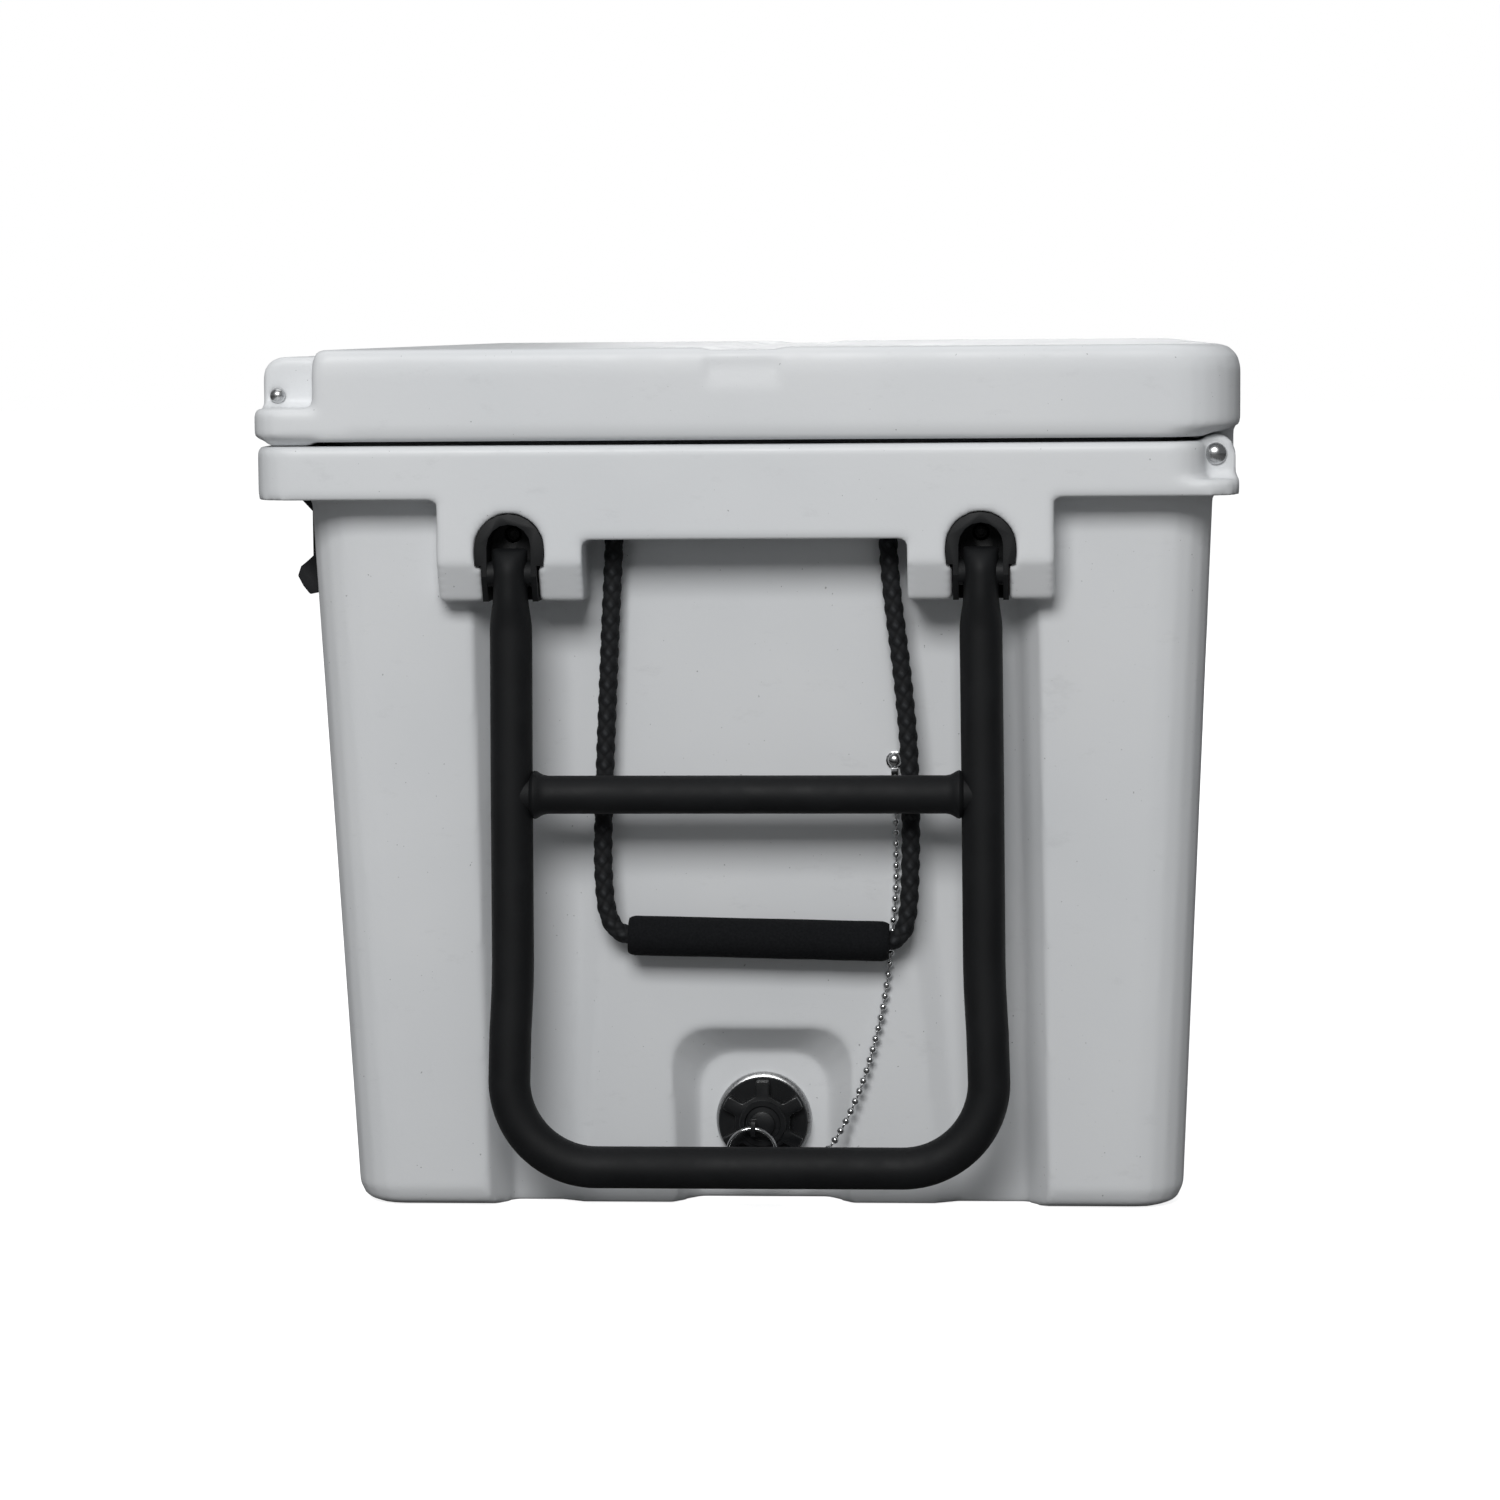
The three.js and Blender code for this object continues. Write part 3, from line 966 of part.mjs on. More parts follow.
// the hanging chain, [x, distance from its seat, z]
const CHAIN_ROUTE = [
  [68.7, 0.4, 207.5], [68.9, 0.2, 200], [69.1, 0.1, 189.3], [69.1, -0.6, 175], [69.1, -1.1, 160.5], [68.4, -1.6, 147],
  [67.2, -2.1, 134.1], [66.4, -2.4, 122.5], [63.4, -2.6, 102.4], [61.4, -2.6, 91.8], [58.6, -2.4, 80.8],
  [55.7, -2, 70.2], [52.3, -1.4, 59.7], [48.2, -0.7, 49.6], [43.2, 0, 39.4], [37, 0.5, 29.6], [29.5, 0.6, 21.4],
  [21, 0.4, 15.6], [12, 0, 12.3], [4, -0.3, 11.2], [-0.6, -0.4, 10.9],
];

add('drain_chain', tube(
  new THREE.CatmullRomCurve3(CHAIN_ROUTE.map(([x, out, z]) => new THREE.Vector3(x, CHAIN_Y - out, z))),
  CHAIN_RADIUS, 8, 36,
), steel);
add('chain_clip', cut(join(
  cylinder('y', 4.2, CHAIN_SEAT - 1, CHAIN_SEAT - GAP, CHAIN_SCREW, 14),
  box(CHAIN_SCREW[0] - 1.6, CHAIN_SCREW[0] + 1.6, CHAIN_SEAT - 3.2, CHAIN_SEAT - GAP, CHAIN_SCREW[1] - 7.4, CHAIN_SCREW[1] - 3.8),
), cylinder('y', 1.8, CHAIN_SEAT - 5, CHAIN_SEAT + 5, CHAIN_SCREW, 10)), steel);
add('chain_screw', lathe('y', [
  [0, CHAIN_SEAT - 3.6], [2, CHAIN_SEAT - 3.4], [3.3, CHAIN_SEAT - 2.2], [3.4, CHAIN_SEAT - 1.3],
  [1.5, CHAIN_SEAT - 1.3], [1.5, CHAIN_SEAT + 8], [0, CHAIN_SEAT + 8],
], CHAIN_SCREW, 12), steel);

// ---------------------------------------------------------------- wheels

for (const [name, side] of [['front', -1], ['back', 1]]) {
  const face = side < 0 ? WELL_FRONT_X : WELL_BACK_X;
  const centre = [WHEEL_Y, WHEEL_Z];
  // profiles are drawn outwards from the face of the well, then turned to their side
  const place = (profile, sides) => {
    const turned = lathe('x', profile, [0, 0], sides);
    return (side < 0 ? turned.mirror([1, 0, 0]) : turned).translate([face, ...centre]);
  };
  const hub0 = GAP + WASHER_THICKNESS + GAP;
  const hub1 = hub0 + HUB_WIDTH;
  const tyre0 = hub0 + (HUB_WIDTH - TYRE_WIDTH) / 2;
  const tyre1 = tyre0 + TYRE_WIDTH;
  const inner = WHEEL_RADIUS - TYRE_THICKNESS;
  add(`axle_washer_${name}`, place([
    [AXLE_RADIUS + GAP, GAP], [AXLE_RADIUS + 8, GAP], [AXLE_RADIUS + 8, GAP + WASHER_THICKNESS],
    [AXLE_RADIUS + GAP, GAP + WASHER_THICKNESS], [AXLE_RADIUS + GAP, GAP],
  ], 18), steel);
  add(`wheel_tyre_${name}`, place([
    [inner, tyre0 + 3], [WHEEL_RADIUS - 9, tyre0], [WHEEL_RADIUS - 3, tyre0 + 2], [WHEEL_RADIUS, tyre0 + 8],
    [WHEEL_RADIUS, tyre1 - 8], [WHEEL_RADIUS - 3, tyre1 - 2], [WHEEL_RADIUS - 9, tyre1], [inner, tyre1 - 3],
    [inner, tyre0 + 3],
  ], 24), blackRubber);
  const rim = inner - GAP;
  add(`wheel_hub_${name}`, place([
    [AXLE_RADIUS + RUN, hub0], [AXLE_RADIUS + 10, hub0], [AXLE_RADIUS + 12, hub0 + 8], [rim - 8, hub0 + 8],
    [rim - 5, hub0 + 3], [rim, hub0 + 3], [rim, hub1 - 3], [rim - 5, hub1 - 3], [rim - 8, hub1 - 9],
    [AXLE_RADIUS + 12, hub1 - 9], [AXLE_RADIUS + 10, hub1], [AXLE_RADIUS + RUN, hub1], [AXLE_RADIUS + RUN, hub0],
  ], 24), blackPlastic);
  add(`axle_bolt_${name}`, place([
    [0, -AXLE_IN], [AXLE_RADIUS, -AXLE_IN], [AXLE_RADIUS, hub1 + GAP], [AXLE_RADIUS + 6, hub1 + GAP],
    [AXLE_RADIUS + 5, hub1 + 3], [AXLE_RADIUS, hub1 + 5], [0, hub1 + 5.4],
  ], 18), steel);
}

// ---------------------------------------------------------------- origin

// the origin lies under the middle of the chest's outline
const extent = new THREE.Box3().setFromObject(chest);
const middle = extent.getCenter(new THREE.Vector3());
chest.position.set(-middle.x, -middle.y, -extent.min.z);
chest.updateMatrixWorld(true);

export default chest;
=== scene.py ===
# %% [markdown]
# # A towable cooler chest
# This lesson dresses a cooler chest whose construction is already settled. The frame holds every
# piece at its real size, in metres, with +Z up. The tow handle is at the -Y end, the wheels at the
# +Y end, the latches on the -X side and the hinge on the +X side. Here each piece gets its real
# surface: soft moulded edges, braided rope, beaded chain, painted tube and rubber.

# %% Load the frame
import json
import math

import bpy
import numpy as np
from mathutils import Matrix, Vector
from mathutils.bvhtree import BVHTree

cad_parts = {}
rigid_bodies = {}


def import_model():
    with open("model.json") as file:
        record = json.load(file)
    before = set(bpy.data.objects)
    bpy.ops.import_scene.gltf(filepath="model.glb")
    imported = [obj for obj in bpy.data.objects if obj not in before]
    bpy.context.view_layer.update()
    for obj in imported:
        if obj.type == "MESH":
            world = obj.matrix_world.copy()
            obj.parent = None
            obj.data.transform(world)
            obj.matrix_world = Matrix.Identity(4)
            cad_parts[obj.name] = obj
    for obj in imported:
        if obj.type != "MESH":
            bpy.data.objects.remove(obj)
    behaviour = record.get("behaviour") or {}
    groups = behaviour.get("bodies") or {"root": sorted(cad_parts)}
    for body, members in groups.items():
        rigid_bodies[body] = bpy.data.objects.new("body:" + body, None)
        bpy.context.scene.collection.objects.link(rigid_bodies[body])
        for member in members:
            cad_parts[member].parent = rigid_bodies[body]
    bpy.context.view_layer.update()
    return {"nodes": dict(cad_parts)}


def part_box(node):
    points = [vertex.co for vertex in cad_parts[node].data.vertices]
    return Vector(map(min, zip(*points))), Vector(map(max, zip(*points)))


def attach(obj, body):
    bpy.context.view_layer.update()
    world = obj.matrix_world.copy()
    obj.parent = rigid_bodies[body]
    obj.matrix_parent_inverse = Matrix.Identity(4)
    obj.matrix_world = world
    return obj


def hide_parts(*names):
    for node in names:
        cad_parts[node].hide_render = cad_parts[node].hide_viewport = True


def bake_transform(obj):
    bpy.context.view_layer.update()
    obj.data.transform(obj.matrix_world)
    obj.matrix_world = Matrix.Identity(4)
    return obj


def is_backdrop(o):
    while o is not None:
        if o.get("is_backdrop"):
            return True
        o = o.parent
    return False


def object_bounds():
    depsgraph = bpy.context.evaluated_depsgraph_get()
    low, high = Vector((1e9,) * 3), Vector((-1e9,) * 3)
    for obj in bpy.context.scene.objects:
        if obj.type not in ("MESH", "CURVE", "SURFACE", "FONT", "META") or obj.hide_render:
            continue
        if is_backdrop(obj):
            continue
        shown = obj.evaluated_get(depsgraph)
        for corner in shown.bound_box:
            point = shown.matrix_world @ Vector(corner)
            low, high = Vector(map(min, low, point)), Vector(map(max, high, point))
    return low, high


bpy.ops.object.select_all(action="SELECT")
bpy.ops.object.delete()
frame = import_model()
nodes = frame["nodes"]
MM = 0.001

# %% [markdown]
# ## The camera
# The chest is seen from the end with the tow handle, from just above the lid and a little to the
# hinge side. A camera two metres away with a narrow lens keeps the sides of the chest nearly
# parallel. It is put in place first, because what the camera sees decides where loose cords may lie.

# %% Camera
CAMERA_DISTANCE = 2.0
CAMERA_HEIGHT = 0.4223
CAMERA_YAW = math.radians(3.7)
CAMERA_ROLL = math.radians(0.45)
FIELD_OF_VIEW = math.radians(19.77)
AIM_DROP = 0.1977
AIM_SIDE = 0.0022

end_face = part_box("base_shell")[0].y
aim = Vector((AIM_SIDE, end_face, CAMERA_HEIGHT - AIM_DROP))
eye = Vector((
    CAMERA_DISTANCE * math.sin(CAMERA_YAW),
    end_face - CAMERA_DISTANCE * math.cos(CAMERA_YAW),
    CAMERA_HEIGHT,
))
bpy.ops.object.camera_add(location=eye)
camera = bpy.context.object
camera.name = "camera"
camera.data.angle = FIELD_OF_VIEW
look = (aim - eye).to_track_quat("-Z", "Y").to_matrix().to_4x4()
camera.matrix_world = Matrix.Translation(eye) @ look @ Matrix.Rotation(-CAMERA_ROLL, 4, "Z")
bpy.context.scene.camera = camera
print("camera at", [round(v, 3) for v in eye])

# %% [markdown]
# ## Helpers for working as by hand
# Most operators act on what is selected, so each helper first clears the selection. A copy of a CAD
# piece has its loose triangles merged before anything else is done to it.


# %% Selecting, copying and finishing
def only(obj):
    """Make obj the one selected and active object."""
    if bpy.context.object and bpy.context.object.mode != "OBJECT":
        bpy.ops.object.mode_set(mode="OBJECT")
    bpy.ops.object.select_all(action="DESELECT")
    obj.select_set(True)
    bpy.context.view_layer.objects.active = obj
    return obj


def edit(obj, select="SELECT"):
    """Open obj in edit mode with everything or nothing selected."""
    only(obj)
    bpy.ops.object.mode_set(mode="EDIT")
    bpy.ops.mesh.select_all(action=select)


def done():
    bpy.ops.object.mode_set(mode="OBJECT")


def finish_with(obj, kind, **settings):
    """Add a modifier, set it and apply it."""
    only(obj)
    bpy.ops.object.modifier_add(type=kind)
    modifier = obj.modifiers[-1]
    for key, value in settings.items():
        setattr(modifier, key, value)
    bpy.ops.object.modifier_apply(modifier=modifier.name)


def smooth(obj, degrees=40):
    only(obj)
    bpy.ops.object.shade_smooth_by_angle(angle=math.radians(degrees))


def settle(obj):
    """Move the object's place into its mesh, so that it sits at the origin, unturned and unscaled."""
    only(obj)
    bpy.ops.object.transform_apply(location=True, rotation=True, scale=True)


def copy_of(node, name):
    """A merged copy of a CAD piece, as a new piece of its own."""
    mesh = nodes[node].data.copy()
    mesh.materials.clear()
    piece = bpy.data.objects.new(name, mesh)
    bpy.context.scene.collection.objects.link(piece)
    only(piece)
    bpy.ops.mesh.customdata_custom_splitnormals_clear()
    edit(piece)
    bpy.ops.mesh.remove_doubles(threshold=0.00001)
    done()
    return piece


def joined(pieces, name):
    """Several objects made one."""
    only(pieces[0])
    for piece in pieces[1:]:
        piece.select_set(True)
    if len(pieces) > 1:
        bpy.ops.object.join()
    bpy.context.object.name = name
    return bpy.context.object


def place(piece, body, slot, material, *replaced):
    """Give a finished piece its material, its body and the CAD pieces that it stands for."""
    piece.data.materials.clear()
    piece.data.materials.append(material)
    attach(piece, body)
    if replaced:
        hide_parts(*replaced)
    print(piece.name, len(piece.data.polygons), "faces")


AXES = {"x": Vector((1, 0, 0)), "y": Vector((0, 1, 0)), "z": Vector((0, 0, 1))}
SIDEWAYS = {"x": Vector((0, 0, 1)), "y": Vector((0, 0, 1)), "z": Vector((1, 0, 0))}


def turned(name, profile, axis, centre, steps=64, edge=0.0, sides=2):
    """A turned piece. profile lists (radius, distance along the axis from centre)."""
    along = AXES[axis] if isinstance(axis, str) else Vector(axis).normalized()
    across = SIDEWAYS[axis] if isinstance(axis, str) else along.cross(Vector((0, 1, 0))).normalized()
    centre = Vector(centre)
    points = [centre + across * r + along * h for r, h in profile]
    bpy.ops.object.select_all(action="DESELECT")
    bpy.ops.mesh.primitive_plane_add(size=MM)
    piece = bpy.context.object
    piece.name = name
    edit(piece)
    bpy.ops.mesh.merge(type="CENTER")
    bpy.ops.transform.translate(value=points[0])
    for before, after in zip(points, points[1:]):
        bpy.ops.mesh.extrude_vertices_move(TRANSFORM_OT_translate={"value": after - before})
    bpy.ops.mesh.select_all(action="SELECT")
    bpy.ops.mesh.spin(steps=steps, angle=2 * math.pi, center=centre, axis=along)
    bpy.ops.mesh.select_all(action="SELECT")
    bpy.ops.mesh.remove_doubles(threshold=0.000002)
    bpy.ops.mesh.normals_make_consistent(inside=False)
    done()
    if edge:
        finish_with(piece, "BEVEL", width=edge, segments=sides, limit_method="ANGLE",
                    angle_limit=math.radians(25))
    smooth(piece, 35)
    return piece


def softened(node, name, width, segments=2, flat=1.0):
    """A copy of a CAD piece with its flat faces made whole and its edges rounded."""
    piece = copy_of(node, name)
    edit(piece)
    bpy.ops.mesh.dissolve_limited(angle_limit=math.radians(flat))
    done()
    finish_with(piece, "BEVEL", width=width, segments=segments, limit_method="ANGLE",
                angle_limit=math.radians(25), harden_normals=False)
    smooth(piece, 40)
    return piece


def middle(node):
    low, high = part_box(node)
    return (low + high) / 2


# %% [markdown]
# ## Materials
# Every finish is built from the same few nodes: a Principled shader, noise read in Object
# coordinates, and bump. Object coordinates are in metres, so a noise scale of 100 has features of
# about 10 mm.


# %% Material helpers
class Finish:
    """A material under construction, with short names for its nodes."""

    def __init__(self, name, color, roughness, metallic=0.0, specular=0.5, coords="Object"):
        self.material = bpy.data.materials.new(name)
        self.material.use_nodes = True
        self.tree = self.material.node_tree
        self.shader = self.tree.nodes["Principled BSDF"]
        self.set("Base Color", (*color, 1))
        self.set("Roughness", roughness)
        self.set("Metallic", metallic)
        self.set("Specular IOR Level", specular)
        self.coords = self.tree.nodes.new("ShaderNodeTexCoord").outputs[coords]
        self.height = None

    def set(self, socket, value):
        self.shader.inputs[socket].default_value = value

    def node(self, kind, **inputs):
        node = self.tree.nodes.new(kind)
        for key, value in inputs.items():
            node.inputs[key.replace("_", " ")].default_value = value
        return node

    def link(self, a, b):
        self.tree.links.new(a, b)

    def noise(self, scale, detail=2.0, roughness=0.5, stretch=(1, 1, 1)):
        mapping = self.node("ShaderNodeMapping", Scale=stretch)
        noise = self.node("ShaderNodeTexNoise", Scale=scale, Detail=detail, Roughness=roughness)
        self.link(self.coords, mapping.inputs["Vector"])
        self.link(mapping.outputs["Vector"], noise.inputs["Vector"])
        return noise.outputs["Fac"]

    def ramp(self, value, low, high, dark, light):
        """Map a value between low and high to two colours or two greys."""
        ramp = self.node("ShaderNodeValToRGB")
        stops = ramp.color_ramp.elements
        stops[0].position = low
        stops[1].position = high
        for stop, shade in zip(stops, (dark, light)):
            stop.color = (*shade, 1) if isinstance(shade, tuple) else (shade,) * 3 + (1,)
        self.link(value, ramp.inputs["Fac"])
        return ramp.outputs["Color"]

    def multiply(self, a, b, amount=1.0):
        mix = self.tree.nodes.new("ShaderNodeMix")
        mix.data_type = "RGBA"
        mix.blend_type = "MULTIPLY"
        mix.inputs[0].default_value = amount
        self.link(a, mix.inputs[6])
        self.link(b, mix.inputs[7])
        return mix.outputs[2]

    def to(self, value, socket):
        self.link(value, self.shader.inputs[socket])

    def bump(self, value, distance, strength=1.0):
        """Add a layer of relief; distance is its depth in metres."""
        bump = self.node("ShaderNodeBump", Strength=strength, Distance=distance)
        self.link(value, bump.inputs["Height"])
        if self.height:
            self.link(self.height, bump.inputs["Normal"])
        self.height = bump.outputs["Normal"]
        self.link(self.height, self.shader.inputs["Normal"])


# %% [markdown]
# ### White moulded polyethylene
# Rotomoulded polyethylene is satin, never quite flat, and picks up small scuffs and specks. Wide,
# shallow waves bend its reflections, and a fine orange peel dulls them. The colour drifts a little
# and a few tiny dark specks lie in it.


# %% Shell plastic
def shell_plastic():
    f = Finish("white_polyethylene", (0.72, 0.735, 0.75), 0.42, specular=0.42)
    drift = f.ramp(f.noise(7, 3), 0.3, 0.7, (0.70, 0.718, 0.735), (0.745, 0.758, 0.77))
    scuffs = f.ramp(f.noise(38, 6, 0.72, (1, 1, 2.2)), 0.30, 0.40, 0.9, 1.0)
    specks = f.ramp(f.noise(620, 1, 0.4), 0.185, 0.215, 0.25, 1.0)
    f.to(f.multiply(f.multiply(drift, scuffs, 0.5), specks, 0.6), "Base Color")
    f.to(f.ramp(f.noise(26, 4, 0.6), 0.3, 0.7, 0.36, 0.5), "Roughness")
    f.bump(f.noise(9, 1.5), 0.0016, 0.5)
    f.bump(f.noise(420, 2), 0.00006, 0.6)
    return f.material


WHITE = shell_plastic()

# %% [markdown]
# ### Insulation foam
# The foam poured into the shells is cream, open to no one's eye, and full of small cells.


# %% Foam
def insulation_foam():
    f = Finish("insulation_foam", (0.8, 0.72, 0.5), 0.9, specular=0.2)
    f.to(f.ramp(f.noise(60, 4), 0.3, 0.7, (0.74, 0.65, 0.43), (0.84, 0.77, 0.56)), "Base Color")
    f.bump(f.noise(900, 2), 0.0004)
    return f.material


FOAM = insulation_foam()

# %% [markdown]
# ### Blacks
# The chest has several blacks, and they differ in gloss and grain: powder coat on the tube,
# fine-grained nylon in the pivot inserts, half-gloss plastic on the drain plug, and matte rubber.


# %% Black finishes
def black(name, level, roughness, grain, depth, specular=0.5, wear=None, tint=(0.92, 1.0, 1.12)):
    color = tuple(level * t for t in tint)
    f = Finish(name, color, roughness, specular=specular)
    lighter = tuple(min(1.0, c * 1.35 + 0.0008) for c in color)
    f.to(f.ramp(f.noise(wear or 45, 5, 0.6), 0.42, 0.75, color, lighter), "Base Color")
    f.to(f.ramp(f.noise(90, 3), 0.3, 0.7, roughness - 0.05, roughness + 0.07), "Roughness")
    f.bump(f.noise(grain, 2), depth)
    return f.material


POWDER = black("black_powder_coat", 0.0065, 0.62, 1500, 0.00006, specular=0.24)
NYLON = black("black_nylon", 0.007, 0.55, 1900, 0.00005, specular=0.3)
CAP_BLACK = black("black_cap_plastic", 0.0065, 0.3, 1300, 0.00003, specular=0.5)
RUBBER = black("black_rubber", 0.012, 0.62, 700, 0.00008, specular=0.35)
TYRE = black("tyre_rubber", 0.014, 0.78, 500, 0.00015, specular=0.3, wear=25)
HUB = black("hub_plastic", 0.022, 0.5, 900, 0.00006, specular=0.4)

# %% [markdown]
# ### Foam of the grips
# Closed-cell foam hardly shines. Its skin is broken by tiny cells, so the bump is coarse and the
# roughness near one.


# %% Grip foam
def grip_foam():
    f = Finish("grip_foam", (0.011, 0.0115, 0.013), 0.92, specular=0.15)
    cells = f.noise(900, 3, 0.6)
    f.to(f.ramp(cells, 0.35, 0.75, (0.0055, 0.006, 0.007), (0.01, 0.0106, 0.012)), "Base Color")
    f.bump(f.noise(1400, 3, 0.6), 0.00018)
    return f.material


GRIP = grip_foam()

# %% [markdown]
# ### Metals
# The pins are turned stainless steel, the drain flange is brushed, and the chain is nickel plated.
# Stretching a noise across one axis gives the fine turning lines.


# %% Metals
def metal(name, level, roughness, lines=900, stretch=(1, 1, 1), depth=0.00001):
    f = Finish(name, (level, level * 1.01, level * 1.02), roughness, metallic=1.0)
    grain = f.noise(lines, 3, 0.6, stretch)
    f.to(f.ramp(grain, 0.3, 0.7, roughness * 0.7, roughness * 1.4), "Roughness")
    f.bump(f.noise(lines, 2, 0.5, stretch), depth, 0.5)
    return f.material


DARK_STEEL = metal("black_oxide_steel", 0.035, 0.45)
PIN_STEEL = metal("turned_steel", 0.56, 0.24, 1400, (0.15, 1, 0.15))
FLANGE_STEEL = metal("brushed_steel", 0.5, 0.3, 1200, (1, 0.1, 1))
NICKEL = metal("nickel_plate", 0.62, 0.14)

# %% [markdown]
# ## The white shells
# Both shells come from the frame's solids, whose faces are flat and whose edges are sharp. A
# rotomoulded shell has no sharp edge at all. The copy is emptied of its foam space, which nothing
# can see, rebuilt as an even skin of small quads by a voxel remesh, relaxed until the edges round
# off, and thinned again.


# %% Rebuild a shell with soft edges
VOXEL = 0.0019
SHELL_FACES = 190000
FOAM_REACH = 0.0007


def tree_of(obj):
    """A tree of an object's faces, to ask how near they are or what a ray meets."""
    corners = [vertex.co for vertex in obj.data.vertices]
    return BVHTree.FromPolygons(corners, [face.vertices for face in obj.data.polygons])


def pick_faces(piece, wanted):
    """Open piece in edit mode with only the faces selected that wanted() says yes to."""
    edit(piece)
    bpy.ops.mesh.select_mode(type="FACE")
    bpy.ops.mesh.select_all(action="DESELECT")
    done()
    for face in piece.data.polygons:
        face.select = wanted(face)
    count = sum(face.select for face in piece.data.polygons)
    bpy.ops.object.mode_set(mode="EDIT")
    return count


def soft_shell(node, foam, name):
    piece = copy_of(node, name)
    tree = tree_of(nodes[foam])
    inside = pick_faces(piece, lambda face: tree.find_nearest(face.center, FOAM_REACH)[0] is not None)
    bpy.ops.mesh.delete(type="FACE")
    bpy.ops.mesh.select_mode(type="VERT")
    bpy.ops.mesh.select_all(action="SELECT")
    bpy.ops.mesh.fill_holes(sides=0)
    done()
    finish_with(piece, "REMESH", mode="VOXEL", voxel_size=VOXEL)
    finish_with(piece, "SMOOTH", factor=0.5, iterations=3)
    count = len(piece.data.polygons) * 2
    if count > SHELL_FACES:
        finish_with(piece, "DECIMATE", ratio=SHELL_FACES / count)
    only(piece)
    bpy.ops.object.shade_smooth()
    print(name, "foam-side faces removed:", inside, "triangles before thinning:", count)
    return piece


base_moulding = soft_shell("base_shell", "base_foam_core", "base_moulding")
place(base_moulding, "root", "shell_plastic", WHITE, "base_shell")
lid_moulding = soft_shell("lid_shell", "lid_foam_core", "lid_moulding")
place(lid_moulding, "lid", "shell_plastic", WHITE, "lid_shell")

# %% [markdown]
# ## The tow handle
# The handle is one bent tube. Its two legs hang from the pivots, lean out a little below a slight
# kink, and meet in a round-cornered U. A curve with a round bevel gives the tube, and the ends are
# then pressed flat and domed, as a tube end is for its pivot pin. The crossbar is welded between
# the legs, with a small flared bead at each end.

# %% Tow handle tube
TUBE_RADIUS = 0.010
LEG_X = 0.110
LEG_FLARE = 0.0033
KINK_Z = 0.112
KINK_OUT = 0.003
BEND_RADIUS = 0.041
BEND_STEPS = 24
TIP_LENGTH = 0.027
TIP_HALF_WIDTH = 0.0082
TIP_HALF_DEPTH = 0.012

pivot = middle("pivot_pin_back")
bottom_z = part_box("tow_handle_tube")[0].z + TUBE_RADIUS


def tow_half():
    """Centre line from the top of the +X leg to the middle of the bottom."""
    wide = LEG_X + LEG_FLARE
    points = [Vector((LEG_X, pivot.y, pivot.z + TIP_HALF_DEPTH - 0.0001))]
    for i in range(1, 30):
        points.append(Vector((LEG_X, pivot.y, pivot.z + TIP_HALF_DEPTH - 0.0015 * i)))
    for aside, forward, z in (
        (0.0006, 0, (pivot.z + KINK_Z) / 2), (0.0011, 0, KINK_Z + 0.012), (0.0014, 0.0003, KINK_Z),
        (0.0019, 0.0009, KINK_Z - 0.01), (0.0026, 0.0018, KINK_Z - 0.022),
    ):
        points.append(Vector((LEG_X + aside, pivot.y - forward, z)))
    for i in range(BEND_STEPS + 1):
        a = math.radians(90 * i / BEND_STEPS)
        x = wide - BEND_RADIUS + BEND_RADIUS * math.cos(a)
        z = bottom_z + BEND_RADIUS - BEND_RADIUS * math.sin(a)
        points.append(Vector((x, pivot.y - KINK_OUT * min(1, 0.85 + i / 80), z)))
    return points


def tube_along(name, points, radius, resolution=8):
    """A round tube of mesh along a list of points."""
    curve = bpy.data.curves.new(name, "CURVE")
    curve.dimensions = "3D"
    curve.bevel_depth = radius
    curve.bevel_resolution = resolution
    curve.use_fill_caps = True
    spline = curve.splines.new("POLY")
    spline.points.add(len(points) - 1)
    for point, co in zip(spline.points, points):
        point.co = (*co, 1)
    obj = bpy.data.objects.new(name, curve)
    bpy.context.scene.collection.objects.link(obj)
    only(obj)
    bpy.ops.object.convert(target="MESH")
    piece = bpy.context.object
    edit(piece)
    bpy.ops.mesh.remove_doubles(threshold=0.000001)
    bpy.ops.mesh.normals_make_consistent(inside=False)
    done()
    return piece


def press_tip(piece):
    """Flatten the ends of the legs for their pins and dome their tops."""
    start = pivot.z - TIP_LENGTH
    for vertex in piece.data.vertices:
        co = vertex.co
        if co.z < start:
            continue
        t = min(1.0, (co.z - start) / (TIP_LENGTH - 0.009))
        t = t * t * (3 - 2 * t)
        side = LEG_X if co.x > 0 else -LEG_X
        dome = math.sqrt(max(0.0, 1 - (max(0.0, co.z - pivot.z) / TIP_HALF_DEPTH) ** 2))
        co.x = side + (co.x - side) * (1 - t * (1 - TIP_HALF_WIDTH / TUBE_RADIUS))
        co.y = pivot.y + (co.y - pivot.y) * (1 + t * (TIP_HALF_DEPTH / TUBE_RADIUS - 1)) * dome


half = tow_half()
mirrored_half = [Vector((-p.x, p.y, p.z)) for p in reversed(half)]
tow_tube = tube_along("tow_tube", half + mirrored_half, TUBE_RADIUS)
press_tip(tow_tube)
finish_with(tow_tube, "BEVEL", width=0.0008, segments=2, limit_method="ANGLE",
            angle_limit=math.radians(50))
smooth(tow_tube, 45)
place(tow_tube, "tow_handle", "handle_paint", POWDER, "tow_handle_tube")

# %% Crossbar with its weld beads
BAR_RADIUS = 0.009
bar_mid = middle("tow_handle_crossbar")


